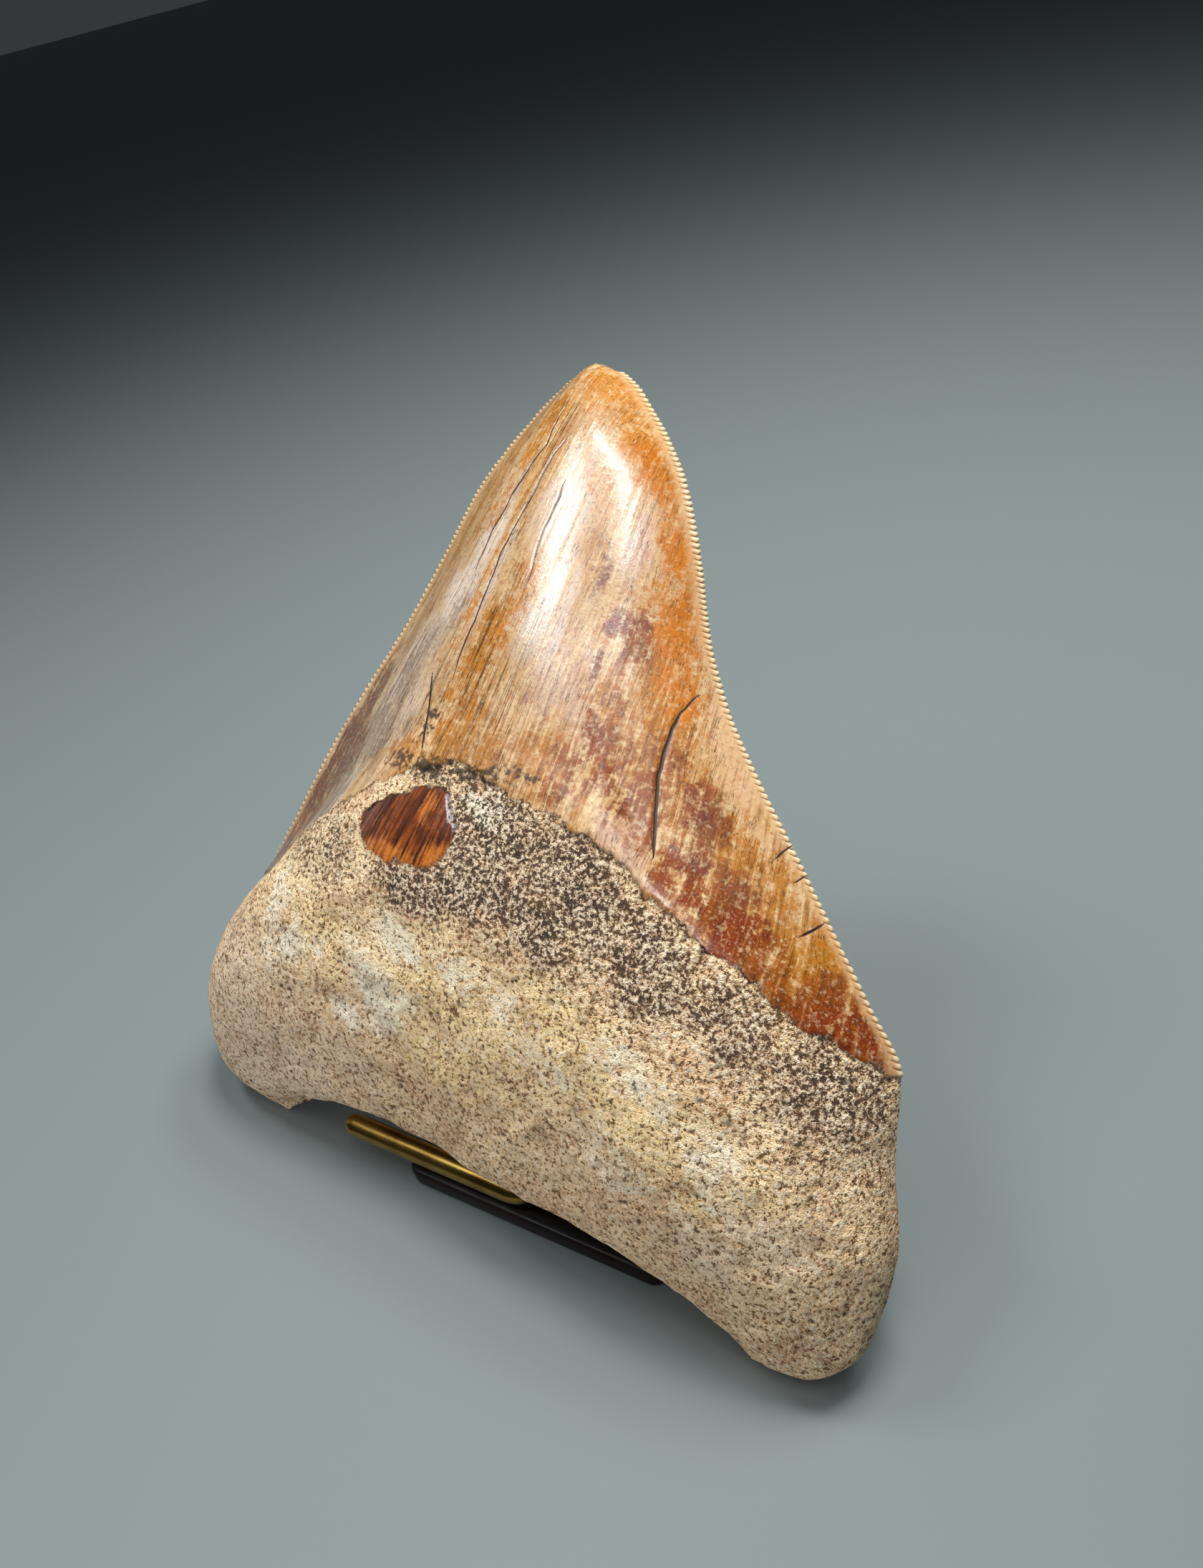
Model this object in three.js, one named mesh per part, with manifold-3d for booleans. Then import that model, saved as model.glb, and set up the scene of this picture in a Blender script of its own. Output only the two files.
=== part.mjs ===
// A large fossil shark tooth with a thick stone-like root, leaning back on a small stand:
// a dark wooden plate with a brass cradle in front and a brass back rest behind.
// Millimetres, +Z up, X across the tooth, the tongue side of the tooth facing -Y and up.
import * as THREE from 'three';
import { mergeVertices } from 'three/addons/utils/BufferGeometryUtils.js';
import Module from 'manifold-3d';

const wasm = await Module();
wasm.setup();

// Driving dimensions of the tooth.
const LEAN = 40;                 // degrees that the tooth leans back from upright
const NOTCH_RISE = 16.4;         // height of the hollow between the two root lobes
const LIP = { drop: 5.4, centre: 0.05 };  // how far, and where, the root's front hangs over the hollow
const SERRATION_DEPTH = 0.45;    // how far a serration stands out of the cutting edge
const EDGE_MARGIN = 1.7;         // width of the strip that carries the serrations
const ROOT_MARGIN = 0.9;         // width of the same strip down the sides of the root
const T_CROWN = 0.30;            // row where the root ends and the crown begins
const T_LAST_SERRATION = 0.984;  // row above which the tip is worn smooth

// How finely the tooth is faceted.
const COLUMNS = 24;              // faces across, between the two edge strips
const ROOT_ROWS = 13;
const CROWN_ROWS = 28;
const TIP_ROWS = 2;
const STEPS_PER_ROW = 8;         // two steps to a serration

// Driving dimensions of the stand, which is turned a little under the tooth.
const GAP = 0.35;                // clearance left between separate pieces
const STAND_TURN = 3.7;          // degrees
const STAND_PLACE = { across: 1.8, front: 0.9 };  // middle of its front edge, from the lobes' line
const PLATE = { width: 43.5, depth: 52, height: 3.2, corner: 2.5, chamfer: 0.7 };
const BAR_RADIUS = 1.75;
const BAR_HEIGHT = 5.8;          // of the cradle bar's centre line above the ground
const BAR_BACK = 2.2;            // of the cradle bar's centre line behind the plate's front edge
const ARM_REACH = 33.6;          // from the stand's middle to the arm's round end
const BEND_RADIUS = 3.4;         // where the arm turns back over the plate
const FOOT = { back: 9.5, topRadius: 2.3, bottomRadius: 2.8 };
const POST_RADIUS = 2.4;
const COLLAR = { height: 2.2, topRadius: 3.1, bottomRadius: 4.1 };
const ROUND_SIDES = 20;
const REST_HALF = 17;            // half the width of the back rest's cross bar
const REST_HEIGHT = 37;          // of the cross bar's centre line above the ground

// The outline, in the tooth's own plane: row, distance across, height.
// Rows run from 0 at the bottom of the root to 1 at the tip.
const RIGHT_SIDE = [
  [0.000, 37.5, -65.2], [0.025, 45.4, -63.2], [0.07, 50.8, -56.0], [0.14, 51.7, -45.5],
  [0.22, 49.2, -35.0], [0.300, 47.6, -24.6], [0.355, 42.2, -18.0], [0.41, 36.0, -10.6],
  [0.490, 27.5, -0.6], [0.550, 21.3, 6.7], [0.61, 16.0, 13.8], [0.67, 12.1, 21.2],
  [0.760, 8.3, 31.5], [0.840, 3.9, 41.2], [0.92, -2.5, 49.6], [0.97, -7.6, 54.2], [1, -11.0, 55.7],
];
const LEFT_SIDE = [
  [0.000, -48.0, -65.2], [0.025, -57.0, -63.6], [0.07, -64.4, -57.0], [0.14, -66.6, -47.5],
  [0.22, -65.0, -38.5], [0.300, -61.4, -28.5], [0.37, -57.0, -18.2], [0.45, -51.6, -5.5],
  [0.530, -45.6, 6.2], [0.610, -39.8, 16.6], [0.70, -34.4, 28.3], [0.78, -30.4, 37.6],
  [0.870, -24.0, 46.6], [0.950, -17.8, 53.2], [1, -13.8, 56.3],
];

// Height that the crown's lower border rises above the line between its two corners:
// position across the tooth from -1 to 1, rise.
const CHEVRON = [
  [-1, 0], [-0.86, 2.6], [-0.69, 10.5], [-0.47, 18.9], [-0.24, 25.0], [-0.13, 25.9],
  [0.05, 23.6], [0.31, 20.4], [0.42, 15.8], [0.59, 11.0], [0.76, 6.3], [1, 0],
];
// How much of that rise, and of the notch's rise, each row takes part in.
const CHEVRON_SHARE = [[0, 0], [0.15, 0.6], [T_CROWN, 1], [0.45, 0.62], [0.6, 0.32], [0.8, 0.08], [1, 0]];
const BACK_SHARE = [[0, 0], [0.15, 0.16], [T_CROWN, 0.26], [0.6, 0.16], [0.8, 0.06], [1, 0]];
const NOTCH_SHARE = [[0, 1], [0.012, 0.76], [0.03, 0.66], [0.06, 0.6], [0.15, 0.33], [T_CROWN, 0], [1, 0]];
const LIP_SHARE = [
  [0, 0], [0.012, 0.6], [0.03, 1], [0.06, 1], [0.1, 0.75], [0.15, 0.42], [0.22, 0.15], [T_CROWN, 0], [1, 0],
];

// Thickness in front of and behind the outline's plane along the middle of the tooth.
const FRONT_DEPTH = [
  [0, 0], [0.008, 4.2], [0.025, 8.3], [0.055, 12.2], [0.095, 15.4], [0.145, 17.3], [0.19, 17.5],
  [0.24, 16.2], [T_CROWN, 13.6], [0.36, 12.6], [0.44, 11.7], [0.55, 10.4], [0.68, 8.7],
  [0.8, 6.8], [0.9, 4.7], [0.96, 2.9], [0.985, 1.7], [1, 0],
];
const BACK_DEPTH = [
  [0, 0], [0.008, 2.6], [0.025, 4.7], [0.055, 6.6], [0.095, 8.0], [0.15, 8.9], [0.22, 8.6],
  [T_CROWN, 7.2], [0.4, 5.6], [0.55, 4.0], [0.7, 3.0], [0.85, 2.0], [0.95, 1.2], [1, 0],
];

const materials = {
  brass: new THREE.MeshStandardMaterial({ color: 0xa67a2c, roughness: 0.25, metalness: 1 }),
  wood: new THREE.MeshStandardMaterial({ color: 0x1a0f0c, roughness: 0.35, metalness: 0 }),
  tooth: new THREE.MeshStandardMaterial({ color: 0xb08d62, roughness: 0.45, metalness: 0 }),
};

function smoothStep(from, to, x) {
  const q = Math.min(1, Math.max(0, (x - from) / (to - from)));
  return q * q * (3 - 2 * q);
}

// A curve that passes through the rows of a table without overshooting them.
function curveThrough(table, column) {
  const last = table.length - 1;
  const slopes = table.slice(1).map((row, k) => (row[column] - table[k][column]) / (row[0] - table[k][0]));
  const tangents = table.map((row, k) => {
    if (k === 0) return slopes[0];
    if (k === last) return slopes[last - 1];
    if (slopes[k - 1] * slopes[k] <= 0) return 0;
    const before = row[0] - table[k - 1][0];
    const after = table[k + 1][0] - row[0];
    const weight = 2 * after + before;
    const otherWeight = after + 2 * before;
    return (weight + otherWeight) / (weight / slopes[k - 1] + otherWeight / slopes[k]);
  });
  return (x) => {
    let k = 0;
    while (k < last - 1 && x > table[k + 1][0]) k += 1;
    const step = table[k + 1][0] - table[k][0];
    const q = Math.min(1, Math.max(0, (x - table[k][0]) / step));
    const start = (1 + 2 * q) * (1 - q) ** 2 * table[k][column];
    const end = q * q * (3 - 2 * q) * table[k + 1][column];
    return start + end + q * (1 - q) * step * ((1 - q) * tangents[k] - q * tangents[k + 1]);
  };
}

const rightAcross = curveThrough(RIGHT_SIDE, 1);
const rightUp = curveThrough(RIGHT_SIDE, 2);
const leftAcross = curveThrough(LEFT_SIDE, 1);
const leftUp = curveThrough(LEFT_SIDE, 2);
const chevron = curveThrough(CHEVRON, 1);
const chevronShare = curveThrough(CHEVRON_SHARE, 1);
const backShare = curveThrough(BACK_SHARE, 1);
const notchShare = curveThrough(NOTCH_SHARE, 1);
const lipShare = curveThrough(LIP_SHARE, 1);
const frontDepth = curveThrough(FRONT_DEPTH, 1);
const backDepth = curveThrough(BACK_DEPTH, 1);

// A point of the tooth's front or back: s from -1 at the left to 1 at the right, t the row.
function toothPoint(s, t, front) {
  const across = leftAcross(t) + (rightAcross(t) - leftAcross(t)) * (s + 1) / 2;
  const side = leftUp(t) + (rightUp(t) - leftUp(t)) * (s + 1) / 2;
  const arch = Math.max(0, 1 - s * s) ** 1.3;
  const hollow = Math.max(0, 1 - Math.abs(s) ** 2.4) ** 1.25;
  const notch = hollow + (arch - hollow) * smoothStep(0, 0.02, t);
  const lip = LIP.drop * lipShare(t) * (1 - (s - LIP.centre) ** 2) ** 3 * Math.max(0, 1 - s * s);
  const rise = front ? chevron(s) * chevronShare(t) - lip : chevron(-0.13) * arch * backShare(t);
  const up = side + NOTCH_RISE * notchShare(t) * notch + rise;
  const crown = smoothStep(T_CROWN - 0.06, T_CROWN + 0.08, t);
  const fullness = front ? 3.4 - 1.4 * crown : 3.6 - 1.2 * crown;
  const roundness = front ? 0.5 + 0.62 * crown : 0.5 + 0.5 * crown;
  const section = Math.max(0, 1 - Math.abs(s) ** fullness) ** roundness;
  const depth = front ? frontDepth(t) * section : -backDepth(t) * section;
  return new THREE.Vector3(across, up, depth);
}

// The cutting edge between two rows, with a serration for every second step.
function edgePoint(sign, t, step) {
  const here = toothPoint(sign, t, true);
  if (step % 2 === 0 || t < T_CROWN || t > T_LAST_SERRATION) return here;
  const ahead = toothPoint(sign, t + 0.002, true);
  const outward = new THREE.Vector3(ahead.y - here.y, here.x - ahead.x, 0).normalize();
  return here.addScaledVector(outward, sign * SERRATION_DEPTH);
}

// Rows of the faceting: crowded at the bottom of the root, even up the crown.
function rowHeights() {
  const rows = [];
  for (let k = 0; k < ROOT_ROWS; k += 1) rows.push(T_CROWN * (k / ROOT_ROWS) ** 1.7);
  const crownSpan = T_LAST_SERRATION - T_CROWN;
  for (let k = 0; k <= CROWN_ROWS; k += 1) rows.push(T_CROWN + crownSpan * k / CROWN_ROWS);
  for (let k = 1; k <= TIP_ROWS; k += 1) {
    rows.push(T_LAST_SERRATION + (1 - T_LAST_SERRATION) * k / TIP_ROWS);
  }
  return rows;
}

// The tooth as one closed skin: a front and a back sheet that share the rim.
function toothGeometry() {
  const rows = rowHeights();
  const positions = [];
  const faces = [];
  const addPoint = (point) => {
    positions.push(point.x, point.y, point.z);
    return positions.length / 3 - 1;
  };

  const edges = [-1, 1].map((sign) => rows.map((t, row) => {
    if (row === rows.length - 1) return [addPoint(edgePoint(sign, t, 0))];
    const serrated = t >= T_CROWN && t < T_LAST_SERRATION;
    const steps = serrated ? STEPS_PER_ROW : 1;
    const run = [];
    for (let step = 0; step < steps; step += 1) {
      const here = t + (rows[row + 1] - t) * step / steps;
      run.push(addPoint(edgePoint(sign, here, step)));
    }
    return run;
  }));

  const columnPlaces = [];
  for (let k = 0; k <= COLUMNS; k += 1) columnPlaces.push(Math.sin((k / COLUMNS - 0.5) * Math.PI));

  const innerPoints = (row, front) => {
    const t = rows[row];
    const halfWidth = (rightAcross(t) - leftAcross(t)) / 2;
    const margin = ROOT_MARGIN + (EDGE_MARGIN - ROOT_MARGIN) * smoothStep(T_CROWN - 0.05, T_CROWN, t);
    const reach = 1 - Math.min(0.5, margin / halfWidth);
    return columnPlaces.map((place) => addPoint(toothPoint(place * reach, t, front)));
  };

  // The bottom and top rows are shared by both sheets, so both ends close.
  const bottom = innerPoints(0, true);
  const top = innerPoints(rows.length - 1, true);
  for (const front of [true, false]) {
    const grid = rows.map((t, row) => {
      if (row === 0) return bottom;
      if (row === rows.length - 1) return top;
      return innerPoints(row, front);
    });
    const addFace = (a, b, c) => faces.push(...(front ? [a, b, c] : [a, c, b]));
    for (let row = 0; row < rows.length - 1; row += 1) {
      const lower = grid[row];
      const upper = grid[row + 1];
      for (let k = 0; k < COLUMNS; k += 1) {
        addFace(lower[k], lower[k + 1], upper[k + 1]);
        addFace(lower[k], upper[k + 1], upper[k]);
      }
      // Each edge strip is a fan from the nearest inner points to the finer rim.
      [-1, 1].forEach((sign, side) => {
        const rim = [...edges[side][row], edges[side][row + 1][0]];
        const innerLow = sign < 0 ? lower[0] : lower[COLUMNS];
        const innerHigh = sign < 0 ? upper[0] : upper[COLUMNS];
        const middle = Math.floor(rim.length / 2);
        const fan = (a, b, c) => (sign > 0 ? addFace(a, b, c) : addFace(a, c, b));
        for (let k = 0; k < rim.length - 1; k += 1) {
          fan(k < middle ? innerLow : innerHigh, rim[k], rim[k + 1]);
        }
        fan(innerLow, rim[middle], innerHigh);
      });
    }
  }
  const geometry = new THREE.BufferGeometry();
  geometry.setAttribute('position', new THREE.Float32BufferAttribute(positions, 3));
  geometry.setIndex(faces);
  return geometry;
}

function toSolid(geometry) {
  const bare = geometry.clone();
  bare.deleteAttribute('normal');
  bare.deleteAttribute('uv');
  const merged = mergeVertices(bare, 1e-4);
  return new wasm.Manifold(new wasm.Mesh({
    numProp: 3,
    vertProperties: new Float32Array(merged.attributes.position.array),
    triVerts: new Uint32Array(merged.index.array),
  }));
}

function toGeometry(solid) {
  const mesh = solid.getMesh();
  const geometry = new THREE.BufferGeometry();
  geometry.setAttribute('position', new THREE.BufferAttribute(mesh.vertProperties.slice(), 3));
  geometry.setIndex(Array.from(mesh.triVerts));
  return geometry;
}

function join(geometries) {
  const solids = geometries.map(toSolid);
  return toGeometry(solids.slice(1).reduce((whole, next) => whole.add(next), solids[0]));
}

function namedMesh(name, geometry, material) {
  const mesh = new THREE.Mesh(geometry, material);
  mesh.name = name;
  return mesh;
}

// A round bar along a curve, closed with half balls.
function roundBar(curve, radius, steps) {
  const circle = new THREE.Shape().absarc(0, 0, radius, 0, 2 * Math.PI);
  const bar = new THREE.ExtrudeGeometry(circle, { extrudePath: curve, steps, curveSegments: 7 });
  const balls = [0, 1].map((place) => {
    const ball = new THREE.SphereGeometry(radius * 0.99, 12, 8);
    const end = curve.getPoint(place);
    return ball.translate(end.x, end.y, end.z);
  });
  return [bar, ...balls];
}

// A round upright between two heights, on the stand's middle line.
function uprightRound(topRadius, bottomRadius, from, to, back) {
  const geometry = new THREE.CylinderGeometry(topRadius, bottomRadius, to - from, ROUND_SIDES);
  return geometry.rotateX(Math.PI / 2).translate(0, back, (from + to) / 2);
}

function plateGeometry() {
  const inset = PLATE.chamfer;
  const halfWidth = PLATE.width / 2 - inset;
  const halfDepth = PLATE.depth / 2 - inset;
  const r = PLATE.corner - inset;
  const shape = new THREE.Shape();
  shape.absarc(halfWidth - r, halfDepth - r, r, 0, Math.PI / 2);
  shape.absarc(r - halfWidth, halfDepth - r, r, Math.PI / 2, Math.PI);
  shape.absarc(r - halfWidth, r - halfDepth, r, Math.PI, 1.5 * Math.PI);
  shape.absarc(halfWidth - r, r - halfDepth, r, 1.5 * Math.PI, 2 * Math.PI);
  const geometry = new THREE.ExtrudeGeometry(shape, {
    depth: PLATE.height - 2 * inset,
    bevelEnabled: true,
    bevelThickness: inset,
    bevelSize: inset,
    bevelSegments: 3,
    curveSegments: 6,
  });
  return geometry.translate(0, 0, inset);
}

// The cradle: a bar that comes forward from a foot on the plate and turns left under the root.
function cradleGeometry(footHeight) {
  const bend = new THREE.Vector3(-BEND_RADIUS, BAR_BACK + BEND_RADIUS, BAR_HEIGHT);
  const line = new THREE.CurvePath();
  const armEnd = new THREE.Vector3(BAR_RADIUS - ARM_REACH, BAR_BACK, BAR_HEIGHT);
  const armRoot = new THREE.Vector3(bend.x, BAR_BACK, BAR_HEIGHT);
  const stemFront = new THREE.Vector3(0, bend.y, BAR_HEIGHT);
  line.add(new THREE.LineCurve3(armEnd, armRoot));
  line.add(new THREE.QuadraticBezierCurve3(armRoot, new THREE.Vector3(0, BAR_BACK, BAR_HEIGHT), stemFront));
  line.add(new THREE.LineCurve3(stemFront, new THREE.Vector3(0, FOOT.back, BAR_HEIGHT)));
  const foot = uprightRound(FOOT.topRadius, FOOT.bottomRadius, footHeight, BAR_HEIGHT, FOOT.back);
  return join([...roundBar(line, BAR_RADIUS, 30), foot]);
}

// The back rest: a post on the plate with a cross bar that the tooth leans against.
function backRestGeometry(postBack, footHeight) {
  const post = uprightRound(BAR_RADIUS, POST_RADIUS, footHeight, REST_HEIGHT, postBack);
  const collarTop = footHeight + COLLAR.height;
  const collar = uprightRound(COLLAR.topRadius, COLLAR.bottomRadius, footHeight, collarTop, postBack);
  const reach = REST_HALF - BAR_RADIUS;
  const line = new THREE.LineCurve3(
    new THREE.Vector3(-reach, postBack, REST_HEIGHT),
    new THREE.Vector3(reach, postBack, REST_HEIGHT),
  );
  return join([post, collar, ...roundBar(line, BAR_RADIUS, 1)]);
}

// The tooth stands on its lobes and leans back, its lobes' lowest line at the origin.
function standingTooth() {
  const tooth = namedMesh('tooth', toothGeometry(), materials.tooth);
  tooth.rotation.x = THREE.MathUtils.degToRad(90 - LEAN);
  tooth.updateMatrixWorld();
  const spot = new THREE.Vector3();
  const points = tooth.geometry.attributes.position;
  let lowest = new THREE.Vector3(0, 0, Infinity);
  for (let k = 0; k < points.count; k += 1) {
    spot.fromBufferAttribute(points, k).applyMatrix4(tooth.matrixWorld);
    if (spot.z < lowest.z) lowest = spot.clone();
  }
  tooth.position.set(0, -lowest.y, -lowest.z);
  return tooth;
}

// How far back the tooth reaches at a height, in the stand's frame, over the back rest's width.
function backOfTooth(tooth, stand, height) {
  const material = tooth.material.clone();
  material.side = THREE.DoubleSide;
  const target = new THREE.Mesh(tooth.geometry, material);
  target.matrixWorld.copy(tooth.matrixWorld);
  const farBehind = 200;
  const forward = new THREE.Vector3(0, -1, 0).transformDirection(stand.matrixWorld);
  const places = [-1, -0.5, 0, 0.5, 1].map((share) => {
    const start = stand.localToWorld(new THREE.Vector3(share * REST_HALF, farBehind, height));
    const hit = new THREE.Raycaster(start, forward).intersectObject(target)[0];
    return stand.worldToLocal(hit.point.clone()).y;
  });
  return Math.max(...places);
}

const whole = new THREE.Group();
const tooth = standingTooth();
const stand = new THREE.Group();
stand.position.set(STAND_PLACE.across, STAND_PLACE.front, 0);
stand.rotation.z = THREE.MathUtils.degToRad(STAND_TURN);
whole.add(tooth, stand);
whole.updateMatrixWorld(true);

const plate = namedMesh('stand_plate', plateGeometry(), materials.wood);
plate.position.y = PLATE.depth / 2;
const footHeight = PLATE.height + GAP;
const slant = Math.cos(THREE.MathUtils.degToRad(LEAN));
const postBack = backOfTooth(tooth, stand, REST_HEIGHT) + (BAR_RADIUS + GAP) / slant;
stand.add(
  plate,
  namedMesh('stand_cradle', cradleGeometry(footHeight), materials.brass),
  namedMesh('stand_back_rest', backRestGeometry(postBack, footHeight), materials.brass),
);

// The origin is on the ground, under the middle of the whole thing.
whole.updateMatrixWorld(true);
const extent = new THREE.Box3().setFromObject(whole, true);
whole.position.set(-(extent.min.x + extent.max.x) / 2, -(extent.min.y + extent.max.y) / 2, -extent.min.z);

export default whole;
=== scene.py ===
"""A fossil shark tooth leaning on its small stand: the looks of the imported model.

The tooth is one skin, split into a root piece and a crown piece at the row where they meet.
Everything below is in millimetres until a mesh is made, and the tooth's own plane is (u, v, w):
u across to the right, v up towards the tip, w out of the front.
"""
import math

import bmesh
import bpy
import numpy as np
from mathutils import Matrix, Vector


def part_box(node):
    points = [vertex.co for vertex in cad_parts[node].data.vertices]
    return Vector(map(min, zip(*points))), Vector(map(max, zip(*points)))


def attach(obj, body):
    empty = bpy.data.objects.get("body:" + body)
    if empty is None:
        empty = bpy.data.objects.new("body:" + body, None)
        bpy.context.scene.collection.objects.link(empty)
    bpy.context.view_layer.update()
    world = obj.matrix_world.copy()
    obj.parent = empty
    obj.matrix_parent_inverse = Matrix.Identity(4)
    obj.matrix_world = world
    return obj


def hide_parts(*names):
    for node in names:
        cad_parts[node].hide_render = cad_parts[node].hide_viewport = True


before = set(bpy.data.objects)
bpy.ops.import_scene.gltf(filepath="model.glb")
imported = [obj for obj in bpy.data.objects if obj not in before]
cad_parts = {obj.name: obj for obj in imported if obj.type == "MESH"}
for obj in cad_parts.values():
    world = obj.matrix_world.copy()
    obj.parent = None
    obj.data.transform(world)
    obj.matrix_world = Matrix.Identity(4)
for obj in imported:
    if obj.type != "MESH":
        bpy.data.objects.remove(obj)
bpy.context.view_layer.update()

MM = 0.001

# Camera: where the photograph was taken from, and its three axes.
CAMERA_PLACE = (85.6, -83.9, 142.4)
CAMERA_RIGHT = (0.826, 0.527, -0.199)
CAMERA_BACK = (0.523, -0.586, 0.619)
CAMERA_LENS = 25.18

# Where the tooth's own plane is in the model.
LEAN = math.radians(40)
TOOTH_ORIGIN = np.array([7.437, 3.635, 49.946])
NOTCH_RISE = 16.4
LIP_DROP, LIP_CENTRE = 5.4, 0.05
T_CROWN = 0.30
T_LAST_SERRATION = 0.984
SERRATIONS = 112
SERRATION_DEPTH = 0.45
SERRATION_REACH = 0.9
STRIP_COLUMNS = (0.0, 0.3, 0.6, 0.9)
STRIP_WIDTH = 1.25

# How finely the skins are meshed: columns and rows of the root's and the crown's front and back.
FRONT_COLUMNS, BACK_COLUMNS = 350, 175
FRONT_ROOT_ROWS, BACK_ROOT_ROWS = 185, 95
FRONT_CROWN_ROWS, BACK_CROWN_ROWS = 190, 95
STEPS_PER_SERRATION = 6

# Outline in the tooth's plane: row, distance across, height.
RIGHT_SIDE = (
    (0.000, 37.5, -65.2), (0.025, 45.4, -63.2), (0.07, 50.8, -56.0), (0.14, 51.7, -45.5),
    (0.22, 49.2, -35.0), (0.300, 47.6, -24.6), (0.355, 42.2, -18.0), (0.41, 36.0, -10.6),
    (0.490, 27.5, -0.6), (0.550, 21.3, 6.7), (0.61, 16.0, 13.8), (0.67, 12.1, 21.2),
    (0.760, 8.3, 31.5), (0.840, 3.9, 41.2), (0.92, -2.5, 49.6), (0.97, -7.6, 54.2), (1, -11.0, 55.7),
)
LEFT_SIDE = (
    (0.000, -48.0, -65.2), (0.025, -57.0, -63.6), (0.07, -64.4, -57.0), (0.14, -66.6, -47.5),
    (0.22, -65.0, -38.5), (0.300, -61.4, -28.5), (0.37, -57.0, -18.2), (0.45, -51.6, -5.5),
    (0.530, -45.6, 6.2), (0.610, -39.8, 16.6), (0.70, -34.4, 28.3), (0.78, -30.4, 37.6),
    (0.870, -24.0, 46.6), (0.950, -17.8, 53.2), (1, -13.8, 56.3),
)
CHEVRON = (
    (-1, 0), (-0.86, 2.6), (-0.69, 10.5), (-0.47, 18.9), (-0.24, 25.0), (-0.13, 25.9),
    (0.05, 23.6), (0.31, 20.4), (0.42, 15.8), (0.59, 11.0), (0.76, 6.3), (1, 0),
)
CHEVRON_SHARE = ((0, 0), (0.15, 0.6), (T_CROWN, 1), (0.45, 0.62), (0.6, 0.32), (0.8, 0.08), (1, 0))
BACK_SHARE = ((0, 0), (0.15, 0.16), (T_CROWN, 0.26), (0.6, 0.16), (0.8, 0.06), (1, 0))
NOTCH_SHARE = ((0, 1), (0.012, 0.76), (0.03, 0.66), (0.06, 0.6), (0.15, 0.33), (T_CROWN, 0), (1, 0))
LIP_SHARE = (
    (0, 0), (0.012, 0.6), (0.03, 1), (0.06, 1), (0.1, 0.75), (0.15, 0.42), (0.22, 0.15), (T_CROWN, 0), (1, 0),
)
FRONT_DEPTH = (
    (0, 0), (0.008, 4.2), (0.025, 8.3), (0.055, 12.2), (0.095, 15.4), (0.145, 17.3), (0.19, 17.5),
    (0.24, 16.2), (T_CROWN, 13.6), (0.36, 12.6), (0.44, 11.7), (0.55, 10.4), (0.68, 8.7),
    (0.8, 6.8), (0.9, 4.7), (0.96, 2.9), (0.985, 1.7), (1, 0),
)
BACK_DEPTH = (
    (0, 0), (0.008, 2.6), (0.025, 4.7), (0.055, 6.6), (0.095, 8.0), (0.15, 8.9), (0.22, 8.6),
    (T_CROWN, 7.2), (0.4, 5.6), (0.55, 4.0), (0.7, 3.0), (0.85, 2.0), (0.95, 1.2), (1, 0),
)

# Cracks in the crown's front, as (u, v) points, with the width of each.
CRACKS = (
    (0.22, ((-13.7, 50.2), (-14.6, 47.5), (-14.9, 43.8), (-16.8, 40.2), (-18.9, 36.2), (-20.6, 31.5),
            (-21.9, 25.4))),
    (0.26, ((-11.8, 44.4), (-13.3, 41.8), (-14.3, 37.7), (-15.7, 33.5), (-17.4, 28.3), (-17.7, 25.4),
            (-18.8, 18.2), (-19.7, 13.1), (-19.9, 10.0))),
    (0.18, ((-9.9, 39.0), (-10.5, 34.8), (-11.3, 31.0), (-11.3, 26.5))),
    (0.42, ((-24.4, 10.4), (-23.5, 6.5), (-22.8, 2.8), (-21.4, -0.2))),
    (0.40, ((12.9, 14.2), (11.9, 11.6), (11.7, 9.8), (12.1, 6.9), (12.4, 4.2), (13.6, -0.5), (15.6, -6.0))),
    (0.24, ((27.6, -3.4), (28.6, -1.9))),
    (0.20, ((30.4, -5.7), (31.2, -5.0))),
    (0.32, ((33.0, -11.7), (34.7, -9.9))),
)
# The crown's growth lines spread from a point above the tip.
FIBRE_APEX = (4, 105)
FIBRE_SPREAD = 80
# Heights between which the dark threads fade, and how much of them is lost there.
STREAKS_FADE, STREAKS_LOST = (6, 26), 0.6
# A smooth dark remnant at the top of the root.
DARK_PATCH = (
    (-29.7, -10.4), (-25.8, -14.5), (-20.1, -15.4), (-15.0, -15.1), (-11.6, -12.4), (-11.1, -8.0),
    (-14.1, -4.3), (-18.6, -4.9), (-24.7, -7.3),
)

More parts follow.
